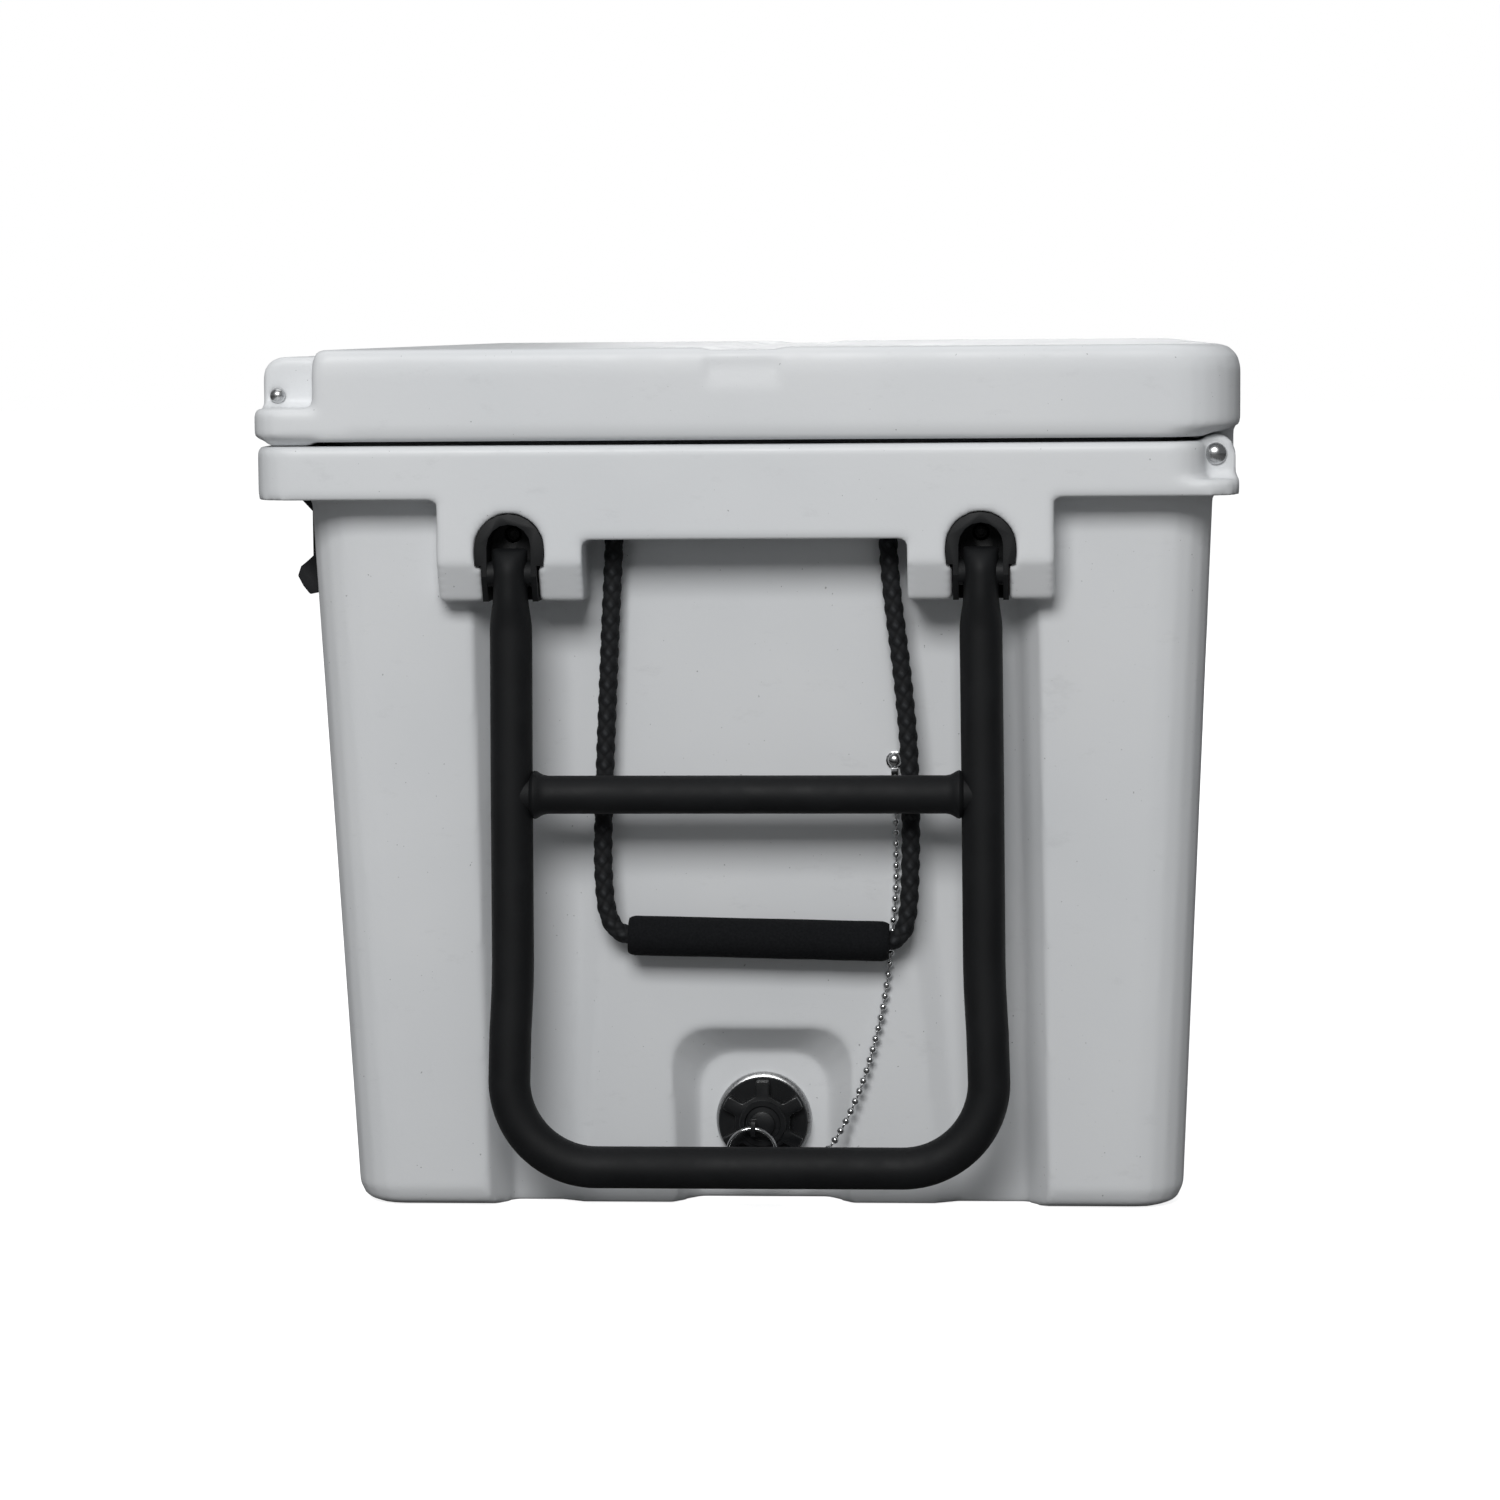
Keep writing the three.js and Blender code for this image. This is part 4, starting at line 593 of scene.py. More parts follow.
def weld_profile():
    """The bar, with a bead round each end where it meets the leg."""
    # radius, and the distance in from the leg's axis
    bead = [(0.0086, 0.0), (0.0088, 0.0082), (0.0108, 0.0092), (0.0114, 0.0102), (0.0111, 0.0114),
            (0.0102, 0.0128), (0.0094, 0.0144), (BAR_RADIUS, 0.0165)]
    one_end = [(r, d - LEG_X) for r, d in bead]
    other_end = [(r, LEG_X - d) for r, d in reversed(bead)]
    return [(0, -LEG_X), *one_end, *other_end, (0, LEG_X)]


crossbar = turned("tow_crossbar", weld_profile(), "x", bar_mid, 48)
place(crossbar, "tow_handle", "handle_paint", POWDER, "tow_handle_crossbar")

# %% [markdown]
# ## Pivot inserts, pins and screws
# Each leg turns on a pin in a black nylon insert, an arch with a slot for the leg and two cheeks
# running down beside it. The frame's shape is right, so its copy only gets rounded edges. Pins and
# screws are turned.

# %% Pivot inserts and pins
for side in ("front", "back"):
    insert = softened(f"pivot_insert_{side}", f"nylon_insert_{side}", 0.0007, 2)
    place(insert, "root", "insert_plastic", NYLON, f"pivot_insert_{side}")
    low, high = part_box(f"pivot_pin_{side}")
    radius = (high.z - low.z) / 2
    length = (high.x - low.x) / 2
    pin = turned(f"tow_pin_{side}", [(0, -length), (radius, -length), (radius, length), (0, length)],
                 "x", (low + high) / 2, 40, 0.0004)
    place(pin, "root", "pin_steel", DARK_STEEL, f"pivot_pin_{side}")
    low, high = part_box(f"insert_screw_{side}")
    centre = Vector(((low.x + high.x) / 2, low.y, (low.z + high.z) / 2))
    screw = turned(f"insert_fixing_{side}", [
        (0, 0.0012), (0.0016, 0.0012), (0.0018, 0), (0.0028, 0.0002), (0.0036, 0.0012), (0.0038, 0.0022),
        (0.002, 0.0023), (0.002, high.y - low.y), (0, high.y - low.y),
    ], "y", centre, 32)
    place(screw, "root", "pin_steel", DARK_STEEL, f"insert_screw_{side}")

# %% [markdown]
# ## The rope handles
# A braided rope hangs from two knots under the rim, through a foam grip. It is one length of rope
# from knot to knot. The braid is modelled: two sets of strands wind round in opposite ways, and at
# each crossing one of them lies on top. A formula gives each point's height, and marks where a pale
# thread shows. The route is the one the frame's plain rope follows.

# %% Rope route and braid
ROPE_RADIUS = 0.0045
STRANDS = 4
BRAID_LAY = 0.0305
RING_STEP = 0.00056
ROUND = 64
KNOT_Z = 0.3445
HOLE_TOP_Z = 0.331
ROPE_ROUTE = [
    (-0.0634, 0.3181), (-0.0642, 0.303), (-0.0654, 0.2813), (-0.0673, 0.2432), (-0.0687, 0.2145),
    (-0.0701, 0.1764), (-0.0698, 0.158), (-0.0684, 0.145), (-0.0646, 0.1364), (-0.0574, 0.133),
    (-0.045, 0.1327), (0.0, 0.1316), (0.053, 0.1304), (0.0654, 0.1301), (0.072, 0.1344),
    (0.075, 0.146), (0.0761, 0.168), (0.0763, 0.1955), (0.0754, 0.2241), (0.0739, 0.2432),
    (0.072, 0.2623), (0.0692, 0.285), (0.0672, 0.304), (0.0663, 0.3181),
]


def smooth_line(points, step):
    """Points at an even step along a smooth line through the given ones."""
    points = np.array(points, float)
    ends = np.vstack([2 * points[0] - points[1], points, 2 * points[-1] - points[-2]])
    dense = []
    for i in range(len(points) - 1):
        a, b, c, d = ends[i:i + 4]
        for t in np.linspace(0, 1, 60, endpoint=False):
            dense.append(0.5 * ((2 * b) + (c - a) * t + (2 * a - 5 * b + 4 * c - d) * t**2
                                + (3 * b - a - 3 * c + d) * t**3))
    dense.append(points[-1])
    dense = np.array(dense)
    run = np.concatenate([[0], np.cumsum(np.linalg.norm(np.diff(dense, axis=0), axis=1))])
    count = max(2, int(round(run[-1] / step)) + 1)
    at = np.linspace(0, run[-1], count)
    return np.column_stack([np.interp(at, run, dense[:, k]) for k in range(3)]), run[-1]


def braid(turn, along):
    """Height from 0 to 1 and pale thread from 0 to 1, at a turn round the rope and a way along it."""
    p = STRANDS * (turn + along / BRAID_LAY)
    q = STRANDS * (turn - along / BRAID_LAY)
    fp, fq = p - np.round(p), q - np.round(q)
    first_on_top = (np.round(p) + np.round(q)) % 2 == 0
    width = np.where(first_on_top, fp, fq)
    length = np.where(first_on_top, fq, fp)
    height = np.sqrt(np.clip(1 - (1.85 * width) ** 2, 0, 1)) * (0.25 + 0.75 * np.cos(np.pi * length))
    pale = first_on_top & (np.abs(width) < 0.13) & (np.abs(length) < 0.3)
    return height, pale * (1 - 2.2 * np.abs(length))


def braided_rope(name, centres):
    tangents = np.gradient(centres, axis=0)
    tangents /= np.linalg.norm(tangents, axis=1)[:, None]
    # the route lies in one plane across Y, so Y is square to it everywhere
    outward = np.tile([0.0, 1.0, 0.0], (len(centres), 1))
    sideways = np.cross(tangents, outward)
    turn = np.arange(ROUND) / ROUND
    along = np.arange(len(centres)) * RING_STEP
    height, pale = braid(turn[None, :], along[:, None])
    radius = ROPE_RADIUS * (0.83 + 0.19 * height)
    c, s = np.cos(2 * np.pi * turn), np.sin(2 * np.pi * turn)
    points = centres[:, None] + radius[..., None] * (
        outward[:, None] * c[None, :, None] + sideways[:, None] * s[None, :, None])
    verts = points.reshape(-1, 3)
    faces = []
    for i in range(len(centres) - 1):
        for j in range(ROUND):
            k = (j + 1) % ROUND
            faces.append((i * ROUND + j, i * ROUND + k, (i + 1) * ROUND + k, (i + 1) * ROUND + j))
    faces.append(tuple(range(ROUND))[::-1])
    faces.append(tuple((len(centres) - 1) * ROUND + j for j in range(ROUND)))
    mesh = bpy.data.meshes.new(name)
    mesh.from_pydata(verts.tolist(), [], faces)
    for label, values in (("pale_thread", pale), ("braid_height", height)):
        attribute = mesh.attributes.new(label, "FLOAT", "POINT")
        attribute.data.foreach_set("value", values.astype(np.float32).ravel())
    rope = bpy.data.objects.new(name, mesh)
    bpy.context.scene.collection.objects.link(rope)
    edit(rope)
    bpy.ops.mesh.normals_make_consistent(inside=False)
    done()
    only(rope)
    bpy.ops.object.shade_smooth()
    return rope


def rope_finish():
    f = Finish("braided_rope", (0.009, 0.0098, 0.011), 0.75, specular=0.3)
    pale = f.node("ShaderNodeAttribute")
    pale.attribute_name = "pale_thread"
    rise = f.node("ShaderNodeAttribute")
    rise.attribute_name = "braid_height"
    # painted shade: the rope's colour is made darker where the braid is low, in the grooves between the
    # strands, and lighter on the crests
    dark = f.ramp(rise.outputs["Fac"], 0.15, 0.8, (0.0035, 0.0038, 0.0045), (0.0105, 0.0115, 0.013))
    mix = f.tree.nodes.new("ShaderNodeMix")
    mix.data_type = "RGBA"
    f.link(pale.outputs["Fac"], mix.inputs[0])
    f.link(dark, mix.inputs[6])
    mix.inputs[7].default_value = (0.034, 0.036, 0.039, 1)
    f.to(mix.outputs[2], "Base Color")
    f.bump(f.noise(2600, 3, 0.6), 0.00012)
    return f.material


ROPE = rope_finish()

# %% Foam grips and both ropes
GRIP_RADIUS = 0.0095
HALF_GRIP = 0.0620
GRIP_TILT = Vector((0.124, 0, -0.0029)).normalized()
GRIP_RINGS = 60
END_DRAW = 0.055


def grip_profile():
    """A foam tube with small round edges, drawn in a little at its two end rings."""
    bore = ROPE_RADIUS + 0.0003
    corner = GRIP_RADIUS - 0.0012
    side = [
        (GRIP_RADIUS * (1 - (END_DRAW if k in (0, GRIP_RINGS) else 0)),
         -HALF_GRIP + 0.0012 + (2 * HALF_GRIP - 0.0024) * k / GRIP_RINGS)
        for k in range(GRIP_RINGS + 1)
    ]
    return [
        (bore, -HALF_GRIP + 0.002), (bore + 0.0004, -HALF_GRIP), (corner, -HALF_GRIP), *side,
        (corner, HALF_GRIP), (bore + 0.0004, HALF_GRIP), (bore, HALF_GRIP - 0.002),
        (bore, -HALF_GRIP + 0.002),
    ]


for end in ("near", "far"):
    rope_y = middle(f"rope_{end}").y
    first_x, last_x = ROPE_ROUTE[0][0], ROPE_ROUTE[-1][0]
    route = [(first_x, KNOT_Z), (first_x, HOLE_TOP_Z), *ROPE_ROUTE, (last_x, HOLE_TOP_Z), (last_x, KNOT_Z)]
    centres, length = smooth_line([(x, rope_y, z) for x, z in route], RING_STEP)
    rope = braided_rope(f"braided_rope_{end}", centres)
    rope.data.materials.append(ROPE)
    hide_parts(f"rope_{end}")
    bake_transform(rope)

    grip_low, grip_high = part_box(f"rope_grip_{end}")
    grip_centre = Vector(((grip_low.x + grip_high.x) / 2, rope_y, (grip_low.z + grip_high.z) / 2))
    grip = turned(f"foam_grip_{end}", grip_profile(), GRIP_TILT, grip_centre, 48)
    swell = bpy.data.textures.new(f"grip_swell_{end}", "CLOUDS")
    swell.noise_scale = 0.018
    finish_with(grip, "DISPLACE", texture=swell, texture_coords="LOCAL", strength=0.0005, mid_level=0.5)
    smooth(grip, 50)
    place(grip, f"rope_handle_{end}", "grip_foam", GRIP, f"rope_grip_{end}")
    print(f"rope {end}: {length:.3f} m")

# %% [markdown]
# ## The stopper knots
# Above the shelf each end of the rope is tied in a knot that can't pass its hole. A fat turned
# bulb, wrung and pinched like a tied rope, is enough for what is seen when the lid is open.


# %% Stopper knots
def stopper_knot(node, name):
    low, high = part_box(node)
    centre = Vector(((low.x + high.x) / 2, (low.y + high.y) / 2, 0))
    base_z = KNOT_Z - 0.0006
    top_z = high.z
    size = (high.x - low.x) / 2 * 0.94
    profile = [(0.0, base_z)]
    for i in range(25):
        t = i / 24
        z = base_z + (top_z - base_z) * t
        bulge = math.sin(math.pi * min(1, 0.12 + 0.88 * t)) ** 0.6
        profile.append((max(0.0025, size * bulge), z))
    profile.append((0.0, top_z))
    piece = turned(name, profile, "z", centre, 64)
    for vertex in piece.data.vertices:
        flat = Vector((vertex.co.x - centre.x, vertex.co.y - centre.y, 0))
        if flat.length < 0.0005:
            continue
        angle = math.atan2(flat.y, flat.x)
        t = (vertex.co.z - base_z) / (top_z - base_z)
        wring = 1 - 0.1 * abs(math.sin(1.5 * angle + 5.2 * t)) ** 0.5
        vertex.co.x = centre.x + flat.x * wring
        vertex.co.y = centre.y + flat.y * wring
    smooth(piece, 60)
    return piece


KNOT_ROPE = black("knotted_rope", 0.0095, 0.78, 1800, 0.0003, specular=0.3)
for end in ("near", "far"):
    for side in ("front", "back"):
        node = f"rope_knot_{end}_{side}"
        place(stopper_knot(node, f"stopper_knot_{end}_{side}"), "root", "rope_braid", KNOT_ROPE, node)

# %% [markdown]
# ## The drain
# A steel flange is clamped in the wall. The plug has a round disc with a raised star of six
# round-ended arms to grip, and a raised ring in the middle. Its star starts as a circle of many
# points, each moved to its radius by a formula, and is then extruded and bevelled.

# %% Drain flange and nut
DRAIN_BORE = 0.0106
flange_low, flange_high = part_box("drain_fitting")
drain = Vector(((flange_low.x + flange_high.x) / 2, flange_low.y, (flange_low.z + flange_high.z) / 2))
flange_r = (flange_high.x - flange_low.x) / 2
depth = flange_high.y - flange_low.y
flange = turned("drain_flange", [
    (DRAIN_BORE, 0), (flange_r - 0.0024, 0), (flange_r - 0.0012, 0.0004), (flange_r - 0.0002, 0.0013),
    (flange_r, 0.0022), (flange_r, 0.0029), (0.013, 0.003), (0.013, depth), (DRAIN_BORE, depth),
    (DRAIN_BORE, 0),
], "y", drain, 96)
place(flange, "root", "drain_metal", FLANGE_STEEL, "drain_fitting")
place(softened("drain_nut", "drain_back_nut", 0.0006), "root", "drain_plastic", CAP_BLACK, "drain_nut")

# %% Drain plug
plug_low, plug_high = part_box("drain_plug")
CAP_RADIUS = (plug_high.x - plug_low.x) / 2
DISC_THICK = 0.0035
STAR_RISE = 0.0048
ARMS = 6
HALF_ARM = 0.0034
FACET_RADIUS = 0.0132
CORNER_BLEND = 0.0007
cap_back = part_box("drain_seal")[0].y - 0.0003
disc_front = cap_back - DISC_THICK


def star_radius(angle):
    """Radius of the grip's outline: round-ended arms with flat facets between them."""
    turn = (angle / (2 * math.pi / ARMS) + 0.5) % 1 - 0.5
    away = abs(turn) * 2 * math.pi / ARMS
    arm = min(CAP_RADIUS - 0.0008, HALF_ARM / max(math.sin(away), 0.001))
    facet = FACET_RADIUS / math.cos(math.pi / ARMS - away)
    blend = 1 / (1 + math.exp(-(arm - facet) / CORNER_BLEND))
    return max(facet, arm * blend + facet * (1 - blend))


def cap_star():
    bpy.ops.object.select_all(action="DESELECT")
    bpy.ops.mesh.primitive_circle_add(vertices=216, radius=CAP_RADIUS, fill_type="NGON",
                                      location=(drain.x, disc_front + 0.0004, drain.z),
                                      rotation=(math.pi / 2, 0, 0))
    piece = bpy.context.object
    piece.name = "cap_star"
    settle(piece)
    for vertex in piece.data.vertices:
        angle = math.atan2(vertex.co.x - drain.x, vertex.co.z - drain.z)
        reach = star_radius(angle)
        vertex.co.x = drain.x + reach * math.sin(angle)
        vertex.co.z = drain.z + reach * math.cos(angle)
    edit(piece)
    bpy.ops.mesh.extrude_region_move(TRANSFORM_OT_translate={"value": (0, -STAR_RISE - 0.0004, 0)})
    bpy.ops.mesh.select_all(action="SELECT")
    bpy.ops.mesh.normals_make_consistent(inside=False)
    done()
    finish_with(piece, "BEVEL", width=0.0011, segments=3, limit_method="ANGLE",
                angle_limit=math.radians(50))
    smooth(piece, 40)
    return piece


shank_end = plug_high.y - drain.y
disc_from, disc_to = disc_front - drain.y, cap_back - drain.y
cap_disc = turned("cap_disc", [
    (0, disc_from), (CAP_RADIUS - 0.0006, disc_from), (CAP_RADIUS, disc_from + 0.0006),
    (CAP_RADIUS, disc_to - 0.0003), (CAP_RADIUS - 0.0004, disc_to), (0.010, disc_to),
    (0.010, shank_end - 0.001), (0.009, shank_end), (0, shank_end),
], "y", drain, 96)
face = disc_front - STAR_RISE - drain.y
cap_ring = turned("cap_ring", [
    (0.0082, face + 0.001), (0.0084, face - 0.0007), (0.0088, face - 0.0011), (0.0108, face - 0.0011),
    (0.0113, face - 0.0006), (0.0115, face + 0.001), (0.0082, face + 0.001),
], "y", drain, 72)
plug = joined([cap_disc, cap_star(), cap_ring], "drain_cap")
place(plug, "drain_plug", "drain_plastic", CAP_BLACK, "drain_plug")

# %% Swivel button and split ring
WIRE_RADIUS = 0.0008
COIL_STEPS = 144
COIL_LIFT = 0.00085

swivel = softened("drain_swivel", "swivel_button", 0.0004)
place(swivel, "drain_slide", "drain_plastic", CAP_BLACK, "drain_swivel")

ring_low, ring_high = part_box("split_ring")
ring_mid = (ring_low + ring_high) / 2
RING_RADIUS = (ring_high.x - ring_low.x) / 2 - WIRE_RADIUS
coil = []
for i in range(COIL_STEPS + 1):
    a = math.radians(40 + 720 * i / COIL_STEPS)
    lift = COIL_LIFT * math.tanh((i - COIL_STEPS / 2) / 5)
    x, z = ring_mid.x + RING_RADIUS * math.cos(a), ring_mid.z + RING_RADIUS * math.sin(a)
    coil.append(Vector((x, ring_mid.y + lift, z)))
split = tube_along("key_ring", coil, WIRE_RADIUS, 4)
smooth(split, 60)
place(split, "drain_slide", "chain_metal", NICKEL, "split_ring")

# %% [markdown]
# ## The ball chain
# The chain is hollow balls crimped on short wire links. One ball and one link are modelled, and
# copies are laid along the route that the frame's plain chain follows, each link turned to point at
# the next ball.

# %% Ball chain
BEAD_RADIUS = 0.0018
BEAD_PITCH = 0.00535
LINK_RADIUS = 0.0005
# x, distance in front of the clip and z, in millimetres
CHAIN_ROUTE = [
    (68.7, 0.4, 207.5), (68.9, 0.2, 200), (69.1, 0.1, 189.3), (69.1, -0.6, 175), (69.1, -1.1, 160.5),
    (68.4, -1.6, 147), (67.2, -2.1, 134.1), (66.4, -2.4, 122.5), (63.4, -2.6, 102.4), (61.4, -2.6, 91.8),
    (58.6, -2.4, 80.8), (55.7, -2, 70.2), (52.3, -1.4, 59.7), (48.2, -0.7, 49.6), (43.2, 0, 39.4),
    (37, 0.5, 29.6), (29.5, 0.6, 21.4), (21, 0.4, 15.6), (12, 0, 12.3), (4, -0.3, 11.2), (-0.6, -0.4, 10.9),
]
clip_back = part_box("chain_clip")[1].y
chain_y = clip_back - 0.0016
chain_points = [(x * MM, chain_y - out * MM, z * MM) for x, out, z in CHAIN_ROUTE]
spots, chain_length = smooth_line(chain_points, BEAD_PITCH)
pitch = chain_length / (len(spots) - 1)


def copies(source, matrices, name):
    """One object holding a copy of source at each matrix."""
    made = []
    for matrix in matrices:
        copy = bpy.data.objects.new(name, source.data.copy())
        bpy.context.scene.collection.objects.link(copy)
        copy.data.transform(matrix)
        made.append(copy)
    bpy.data.objects.remove(source)
    return joined(made, name)


bpy.ops.object.select_all(action="DESELECT")
bpy.ops.mesh.primitive_uv_sphere_add(segments=20, ring_count=12, radius=BEAD_RADIUS)
bead = bpy.context.object
only(bead)
bpy.ops.object.shade_smooth()
beads = copies(bead, [Matrix.Translation(p) for p in spots], "beads")
bpy.ops.object.select_all(action="DESELECT")
bpy.ops.mesh.primitive_cylinder_add(vertices=8, radius=LINK_RADIUS, depth=pitch)
link = bpy.context.object
only(link)
bpy.ops.object.shade_smooth()
turns = []
for a, b in zip(spots, spots[1:]):
    way = Vector(b - a)
    turns.append(Matrix.Translation((a + b) / 2) @ way.to_track_quat("Z", "Y").to_matrix().to_4x4())
links = copies(link, turns, "links")
chain = joined([beads, links], "ball_chain")
chain.data.materials.clear()
chain.data.materials.append(NICKEL)
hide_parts("drain_chain")
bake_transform(chain)
print(f"chain {chain_length:.3f} m, {len(spots)} balls")

# %% Chain clip and screw
place(softened("chain_clip", "chain_tab", 0.0003), "root", "chain_metal", NICKEL, "chain_clip")
low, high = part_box("chain_screw")
centre = Vector(((low.x + high.x) / 2, low.y, (low.z + high.z) / 2))
HEAD_RADIUS, HEAD_RISE, SHANK_RADIUS = 0.0034, 0.0023, 0.0015
head = [(HEAD_RADIUS * math.sin(math.radians(a)), HEAD_RISE * (1 - math.cos(math.radians(a))))
        for a in range(0, 91, 10)]
shank = [(SHANK_RADIUS, HEAD_RISE), (SHANK_RADIUS, high.y - low.y), (0, high.y - low.y)]
screw = turned("chain_fixing", [*head, *shank], "y", centre, 40)
place(screw, "root", "pin_steel", PIN_STEEL, "chain_screw")

# %% [markdown]
# ## Latches
# A latch is one piece of rubber: a barrel round its pin, a strap that stretches down over the rim,
# and a pull at the bottom with ribs for the fingers. The frame's outline gets round edges, and the
# ribs are added as copies of one small bar.


# %% Latches
STRAP_THICK = 0.0030
STRAP_FROM, STRAP_TO = 0.3122, 0.3350
# the side wall that the strap lies against
BODY_SIDE = -0.2100
RIBS = 4
RIB_RADIUS = 0.0012
RIB_PITCH = 0.0052
FIRST_RIB = 0.0235
RIB_SPAN = 0.74


def latch(node, name):
    """The rubber strap with four low ribs across its pull."""
    piece = softened(node, name, 0.0012, 3)
    low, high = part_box(node)
    # the strap is stretched thin between the pull and the rim
    for vertex in piece.data.vertices:
        if STRAP_FROM < vertex.co.z < STRAP_TO:
            vertex.co.x = max(vertex.co.x, BODY_SIDE - STRAP_THICK)
    face = tree_of(piece)
    bars = []
    for i in range(RIBS):
        start = Vector((low.x - 0.01, (low.y + high.y) / 2, low.z + FIRST_RIB + i * RIB_PITCH))
        hit = face.ray_cast(start, Vector((1, 0, 0)))[0]
        bpy.ops.object.select_all(action="DESELECT")
        bpy.ops.mesh.primitive_cylinder_add(
            vertices=20, radius=RIB_RADIUS, depth=(high.y - low.y) * RIB_SPAN,
            location=hit + Vector((0.0003, 0, 0)), rotation=(math.pi / 2, 0, 0))
        bar = bpy.context.object
        settle(bar)
        finish_with(bar, "BEVEL", width=0.0006, segments=2, limit_method="ANGLE",
                    angle_limit=math.radians(50))
        smooth(bar)
        bars.append(bar)
    return joined([piece, *bars], name)


for end in ("near", "far"):
    rubber_latch = latch(f"latch_{end}", f"rubber_latch_{end}")
    place(rubber_latch, f"latch_{end}", "latch_rubber", RUBBER, f"latch_{end}")

# %% [markdown]
# ## Hinge pins and latch pins
# Both kinds of pin are steel rods with domed heads, so they are turned from a profile that ends in
# a quarter round.


# %% Pins with domed heads
def dome(radius, tip, base, count=8):
    """Quarter round from the axis at the tip out to the radius at the base."""
    turns = [math.pi / 2 * i / count for i in range(count + 1)]
    return [(radius * math.sin(a), tip + (base - tip) * (1 - math.cos(a))) for a in turns]


LID_PIN_HEAD, LID_PIN_RADIUS = 0.0033, 0.003
STRAP_PIN_HEAD, STRAP_PIN_RADIUS = 0.0028, 0.0025

for name in ("near", "middle", "far"):
    low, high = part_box(f"hinge_pin_{name}")
    half_length = (high.y - low.y) / 2
    r = (high.z - low.z) / 2
    head = dome(r, -half_length, -half_length + LID_PIN_HEAD)
    rod = [(LID_PIN_RADIUS, -half_length + LID_PIN_HEAD), (LID_PIN_RADIUS, half_length - LID_PIN_HEAD)]
    other_head = [(a, -b) for a, b in reversed(head)]
    pin = turned(f"lid_pin_{name}", [*head, *rod, *other_head], "y", (low + high) / 2, 40)
    place(pin, "root", "pin_steel", PIN_STEEL, f"hinge_pin_{name}")

for name, side in (("near", -1), ("far", 1)):
    low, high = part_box(f"latch_pin_{name}")
    half_length = (high.y - low.y) / 2
    r = (high.z - low.z) / 2
    head = dome(r, -half_length, -half_length + STRAP_PIN_HEAD)
    profile = [*head, (STRAP_PIN_RADIUS, -half_length + STRAP_PIN_HEAD),
               (STRAP_PIN_RADIUS, half_length), (0, half_length)]
    pin = turned(f"strap_pin_{name}", [(a, -b * side) for a, b in profile], "y", (low + high) / 2, 40)
    place(pin, "lid", "pin_steel", PIN_STEEL, f"latch_pin_{name}")

# %% [markdown]
# ## Gasket and plugs
# The gasket is a plain rubber ring squeezed between lid and rim. The foam was poured in through
# ports that small white plugs close. Only their finish is missing, so the frame's pieces stay.

# %% Carried-over pieces
for node, material in (
    ("lid_gasket", RUBBER), ("drain_seal", RUBBER), ("base_foam_core", FOAM), ("lid_foam_core", FOAM),
    ("base_fill_plug_near", WHITE), ("base_fill_plug_far", WHITE), ("lid_fill_plug", WHITE),
):
    nodes[node].data.materials.clear()
    nodes[node].data.materials.append(material)

# %% [markdown]
# ## Wheels
# Each wheel is a dished plastic hub in a solid rubber tyre, on a steel stub bolt. Hub and tyre are
# turned. The hub gets ribs, and the tyre a tread of cross lugs: one lug is modelled and copied
# round the wheel.


# %% Wheels
def wheel_part(name, profile, wheel, out, steps=96, edge=0.0):
    """Turn a profile whose distances run outwards from the middle of the wheel."""
    return turned(name, [(r, h * out) for r, h in profile], "x", wheel, steps, edge)


def spun_copies(source, count, centre, name):
    spins = [Matrix.Translation(centre) @ Matrix.Rotation(2 * math.pi * i / count, 4, "X")
             @ Matrix.Translation(-centre) for i in range(count)]
    return copies(source, spins, name)


def block(name, size, location, edge):
    bpy.ops.object.select_all(action="DESELECT")
    bpy.ops.mesh.primitive_cube_add(size=1, location=location, scale=size)
    piece = bpy.context.object
    piece.name = name
    settle(piece)
    finish_with(piece, "BEVEL", width=edge, segments=2, limit_method="ANGLE",
                angle_limit=math.radians(50))
    smooth(piece)
    return piece


RIM_RADIUS = 0.0557
HALF_HUB = 0.015
LUGS_ROUND, LUG_ROW = 40, 0.0068
LUG_SIZE = (0.0075, 0.0058, 0.0036)
HUB_RIBS = 8
BOLT_RADIUS, BOLT_HEAD_RADIUS = 0.008, 0.014
WASHER_BORE, WASHER_RADIUS = 0.0083, 0.016


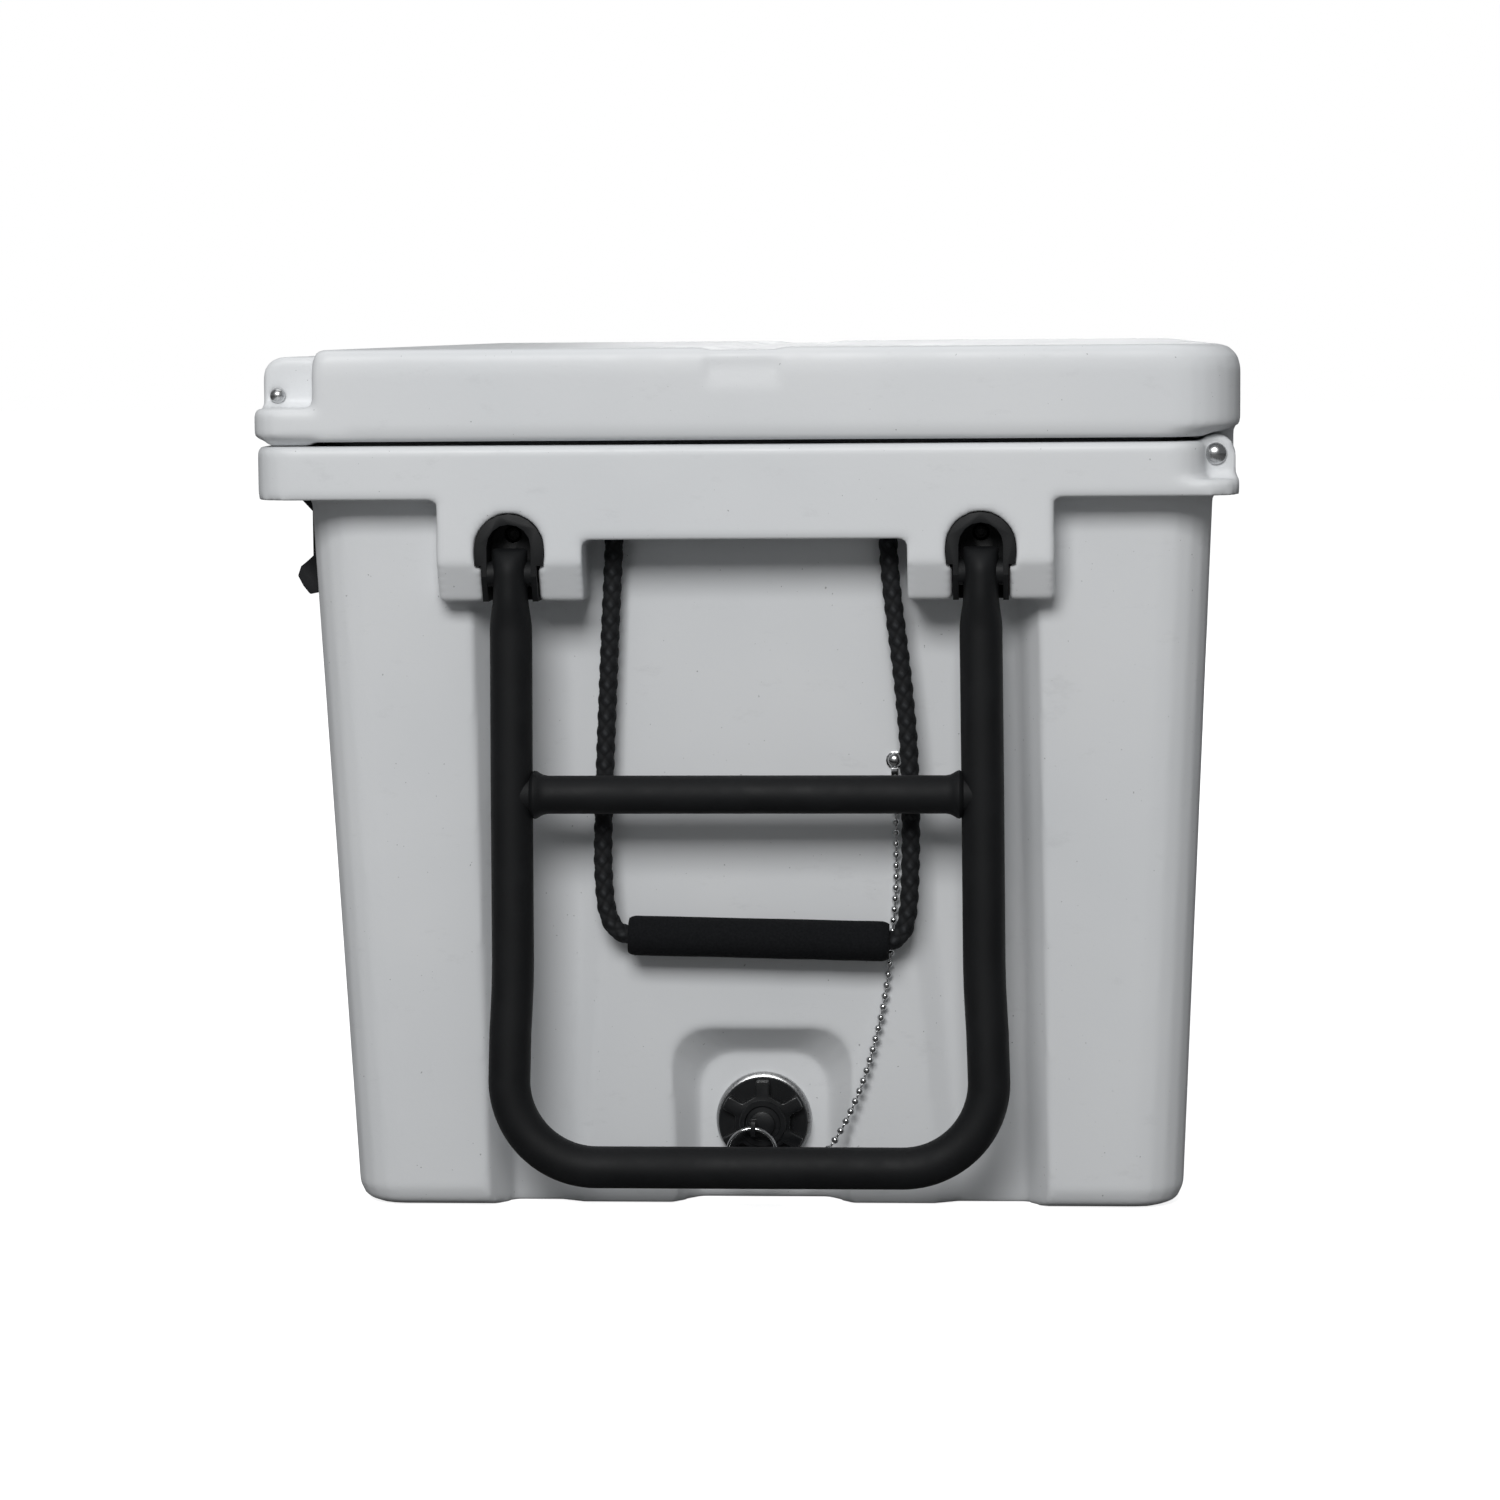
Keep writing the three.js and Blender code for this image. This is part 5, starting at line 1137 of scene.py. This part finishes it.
for side, out in (("front", -1), ("back", 1)):
    low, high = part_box(f"wheel_tyre_{side}")
    wheel = (low + high) / 2
    R = (high.z - low.z) / 2
    W = (high.x - low.x) / 2
    rim = RIM_RADIUS
    tyre = wheel_part(f"tyre_{side}", [
        (rim + 0.0005, -W + 0.003), (R - 0.010, -W + 0.0002), (R - 0.0055, -W + 0.0016),
        (R - 0.0028, -W + 0.0045), (R - 0.0022, -W + 0.0065), (R - 0.0022, -0.0022),
        (R - 0.0045, -0.0016), (R - 0.0045, 0.0016), (R - 0.0022, 0.0022), (R - 0.0022, W - 0.0065),
        (R - 0.0028, W - 0.0045), (R - 0.0055, W - 0.0016), (R - 0.010, W - 0.0002),
        (rim + 0.0005, W - 0.003), (rim + 0.0005, -W + 0.003),
    ], wheel, out, 120, 0.0006)
    lugs = []
    for row in (-1, 1):
        spot = (wheel.x + row * LUG_ROW, wheel.y, wheel.z + R - 0.0019)
        lugs.append(spun_copies(block("lug", LUG_SIZE, spot, 0.0007), LUGS_ROUND, wheel, "lugs"))
    tyre = joined([tyre, *lugs], f"tyre_{side}")
    place(tyre, f"wheel_{side}", "tyre_rubber", TYRE, f"wheel_tyre_{side}")

    h = HALF_HUB
    hub = wheel_part(f"hub_{side}", [
        (0.0085, -h), (0.018, -h), (0.0195, -0.006), (rim - 0.008, -0.006), (rim - 0.0045, -h + 0.003),
        (rim, -h + 0.003), (rim, h - 0.0028), (rim - 0.0042, h - 0.0028), (rim - 0.0062, h - 0.008),
        (rim - 0.009, 0.0045), (0.022, 0.0055), (0.0195, h - 0.003), (0.018, h), (0.0085, h),
        (0.0085, -h),
    ], wheel, out, 96, 0.0007)
    spot = (wheel.x + out * 0.0072, wheel.y, wheel.z + (rim + 0.013) / 2)
    rib = block("rib", (0.008, 0.0042, rim - 0.006 - 0.019), spot, 0.0009)
    ribs = spun_copies(rib, HUB_RIBS, wheel, "ribs")
    hub = joined([hub, ribs], f"hub_{side}")
    place(hub, f"wheel_{side}", "hub_plastic", HUB, f"wheel_hub_{side}")

    low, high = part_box(f"axle_bolt_{side}")
    tip = ((high.x if out > 0 else low.x) - wheel.x) * out
    tail = ((low.x if out > 0 else high.x) - wheel.x) * out
    head = dome(BOLT_HEAD_RADIUS, tip, tip - 0.0042)
    rod = [(BOLT_HEAD_RADIUS, tip - 0.0052), (BOLT_RADIUS, tip - 0.0053), (BOLT_RADIUS, tail), (0, tail)]
    bolt = wheel_part(f"stub_axle_{side}", [*head, *rod], wheel, out, 48)
    place(bolt, "root", "pin_steel", PIN_STEEL, f"axle_bolt_{side}")
    low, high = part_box(f"axle_washer_{side}")
    half_w = (high.x - low.x) / 2
    washer = turned(f"washer_{side}", [
        (WASHER_BORE, -half_w), (WASHER_RADIUS, -half_w), (WASHER_RADIUS, half_w), (WASHER_BORE, half_w),
        (WASHER_BORE, -half_w),
    ], "x", (low + high) / 2, 48, 0.0003)
    place(washer, "root", "pin_steel", PIN_STEEL, f"axle_washer_{side}")

# %% [markdown]
# ## Floor and light
# The chest stands on a plain floor in a white studio. A wide key lamp in front of it gives most of
# the light, and weak lamps above and behind it, with a dim world, fill the rest. To the camera the
# surroundings are white, and the floor glows but keeps the chest's shadow. To all other rays the
# floor is dark, so that little light comes back up from it.


# %% Floor
FLOOR_SEEN, FLOOR_BOUNCE, FLOOR_GLOW = 0.88, 0.16, 0.84


def floor_finish():
    material = bpy.data.materials.new("studio_floor")
    material.use_nodes = True
    tree = material.node_tree
    shader = tree.nodes["Principled BSDF"]
    shader.inputs["Roughness"].default_value = 0.9
    shader.inputs["Specular IOR Level"].default_value = 0.0
    path = tree.nodes.new("ShaderNodeLightPath")
    glow = tree.nodes.new("ShaderNodeEmission")
    add = tree.nodes.new("ShaderNodeAddShader")
    dim = tree.nodes.new("ShaderNodeMix")
    dim.data_type = "RGBA"
    dim.inputs[6].default_value = (*[FLOOR_BOUNCE] * 3, 1)
    dim.inputs[7].default_value = (*[FLOOR_SEEN] * 3, 1)
    tree.links.new(path.outputs["Is Camera Ray"], dim.inputs[0])
    tree.links.new(dim.outputs[2], shader.inputs["Base Color"])
    scale = tree.nodes.new("ShaderNodeMath")
    scale.operation = "MULTIPLY"
    scale.inputs[1].default_value = FLOOR_GLOW
    tree.links.new(path.outputs["Is Camera Ray"], scale.inputs[0])
    tree.links.new(scale.outputs[0], glow.inputs["Strength"])
    tree.links.new(shader.outputs[0], add.inputs[0])
    tree.links.new(glow.outputs[0], add.inputs[1])
    tree.links.new(add.outputs[0], tree.nodes["Material Output"].inputs["Surface"])
    return material


bpy.ops.object.select_all(action="DESELECT")
bpy.ops.mesh.primitive_plane_add(size=40, location=(0, 0, -0.0002))
floor = bpy.context.object
floor.name = "studio_floor"
floor.data.materials.append(floor_finish())
floor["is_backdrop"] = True

# %% Lamps
def soft_lamp(name, location, target, size, power):
    bpy.ops.object.light_add(type="AREA", location=location)
    lamp = bpy.context.object
    lamp.name = name
    lamp.data.shape = "RECTANGLE"
    lamp.data.size, lamp.data.size_y = size
    lamp.data.energy = power
    lamp.rotation_euler = (Vector(target) - Vector(location)).to_track_quat("-Z", "Y").to_euler()
    return lamp


soft_lamp("key_lamp", (-0.3, -2.9, 1.8), (0, -0.2, 0.2), (1.5, 1.0), 62)
soft_lamp("top_lamp", (0.0, -0.2, 2.6), (0, 0, 0.2), (1.8, 1.8), 12)
back = soft_lamp("back_lamp", (0.0, 3.4, 1.1), (0, 0, 0.4), (0.9, 1.2), 9)
back.visible_camera = False

# %% World
WORLD_LIGHT, WORLD_MIRRORED, WORLD_SEEN = 0.24, 0.16, 1.0

world = bpy.data.worlds.new("studio")
bpy.context.scene.world = world
world.use_nodes = True
tree = world.node_tree
light = tree.nodes["Background"]
light.inputs["Color"].default_value = (0.97, 0.985, 1.0, 1)
light.inputs["Strength"].default_value = WORLD_LIGHT
seen = tree.nodes.new("ShaderNodeBackground")
seen.inputs["Color"].default_value = (1, 1, 1, 1)
seen.inputs["Strength"].default_value = WORLD_SEEN
path = tree.nodes.new("ShaderNodeLightPath")
mirrored = tree.nodes.new("ShaderNodeBackground")
mirrored.inputs["Color"].default_value = (0.96, 0.98, 1.0, 1)
mirrored.inputs["Strength"].default_value = WORLD_MIRRORED
inner = tree.nodes.new("ShaderNodeMixShader")
tree.links.new(path.outputs["Is Glossy Ray"], inner.inputs["Fac"])
tree.links.new(light.outputs[0], inner.inputs[1])
tree.links.new(mirrored.outputs[0], inner.inputs[2])
mix = tree.nodes.new("ShaderNodeMixShader")
tree.links.new(path.outputs["Is Camera Ray"], mix.inputs["Fac"])
tree.links.new(inner.outputs[0], mix.inputs[1])
tree.links.new(seen.outputs[0], mix.inputs[2])
tree.links.new(mix.outputs[0], tree.nodes["World Output"].inputs["Surface"])
bpy.context.scene.view_settings.view_transform = "Standard"
print("light ready")

# %% [markdown]
# ## Sizes
# The dressed chest's box is printed.

# %% Sizes
low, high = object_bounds()
print("box", [round(v, 4) for v in (*low, *high)])
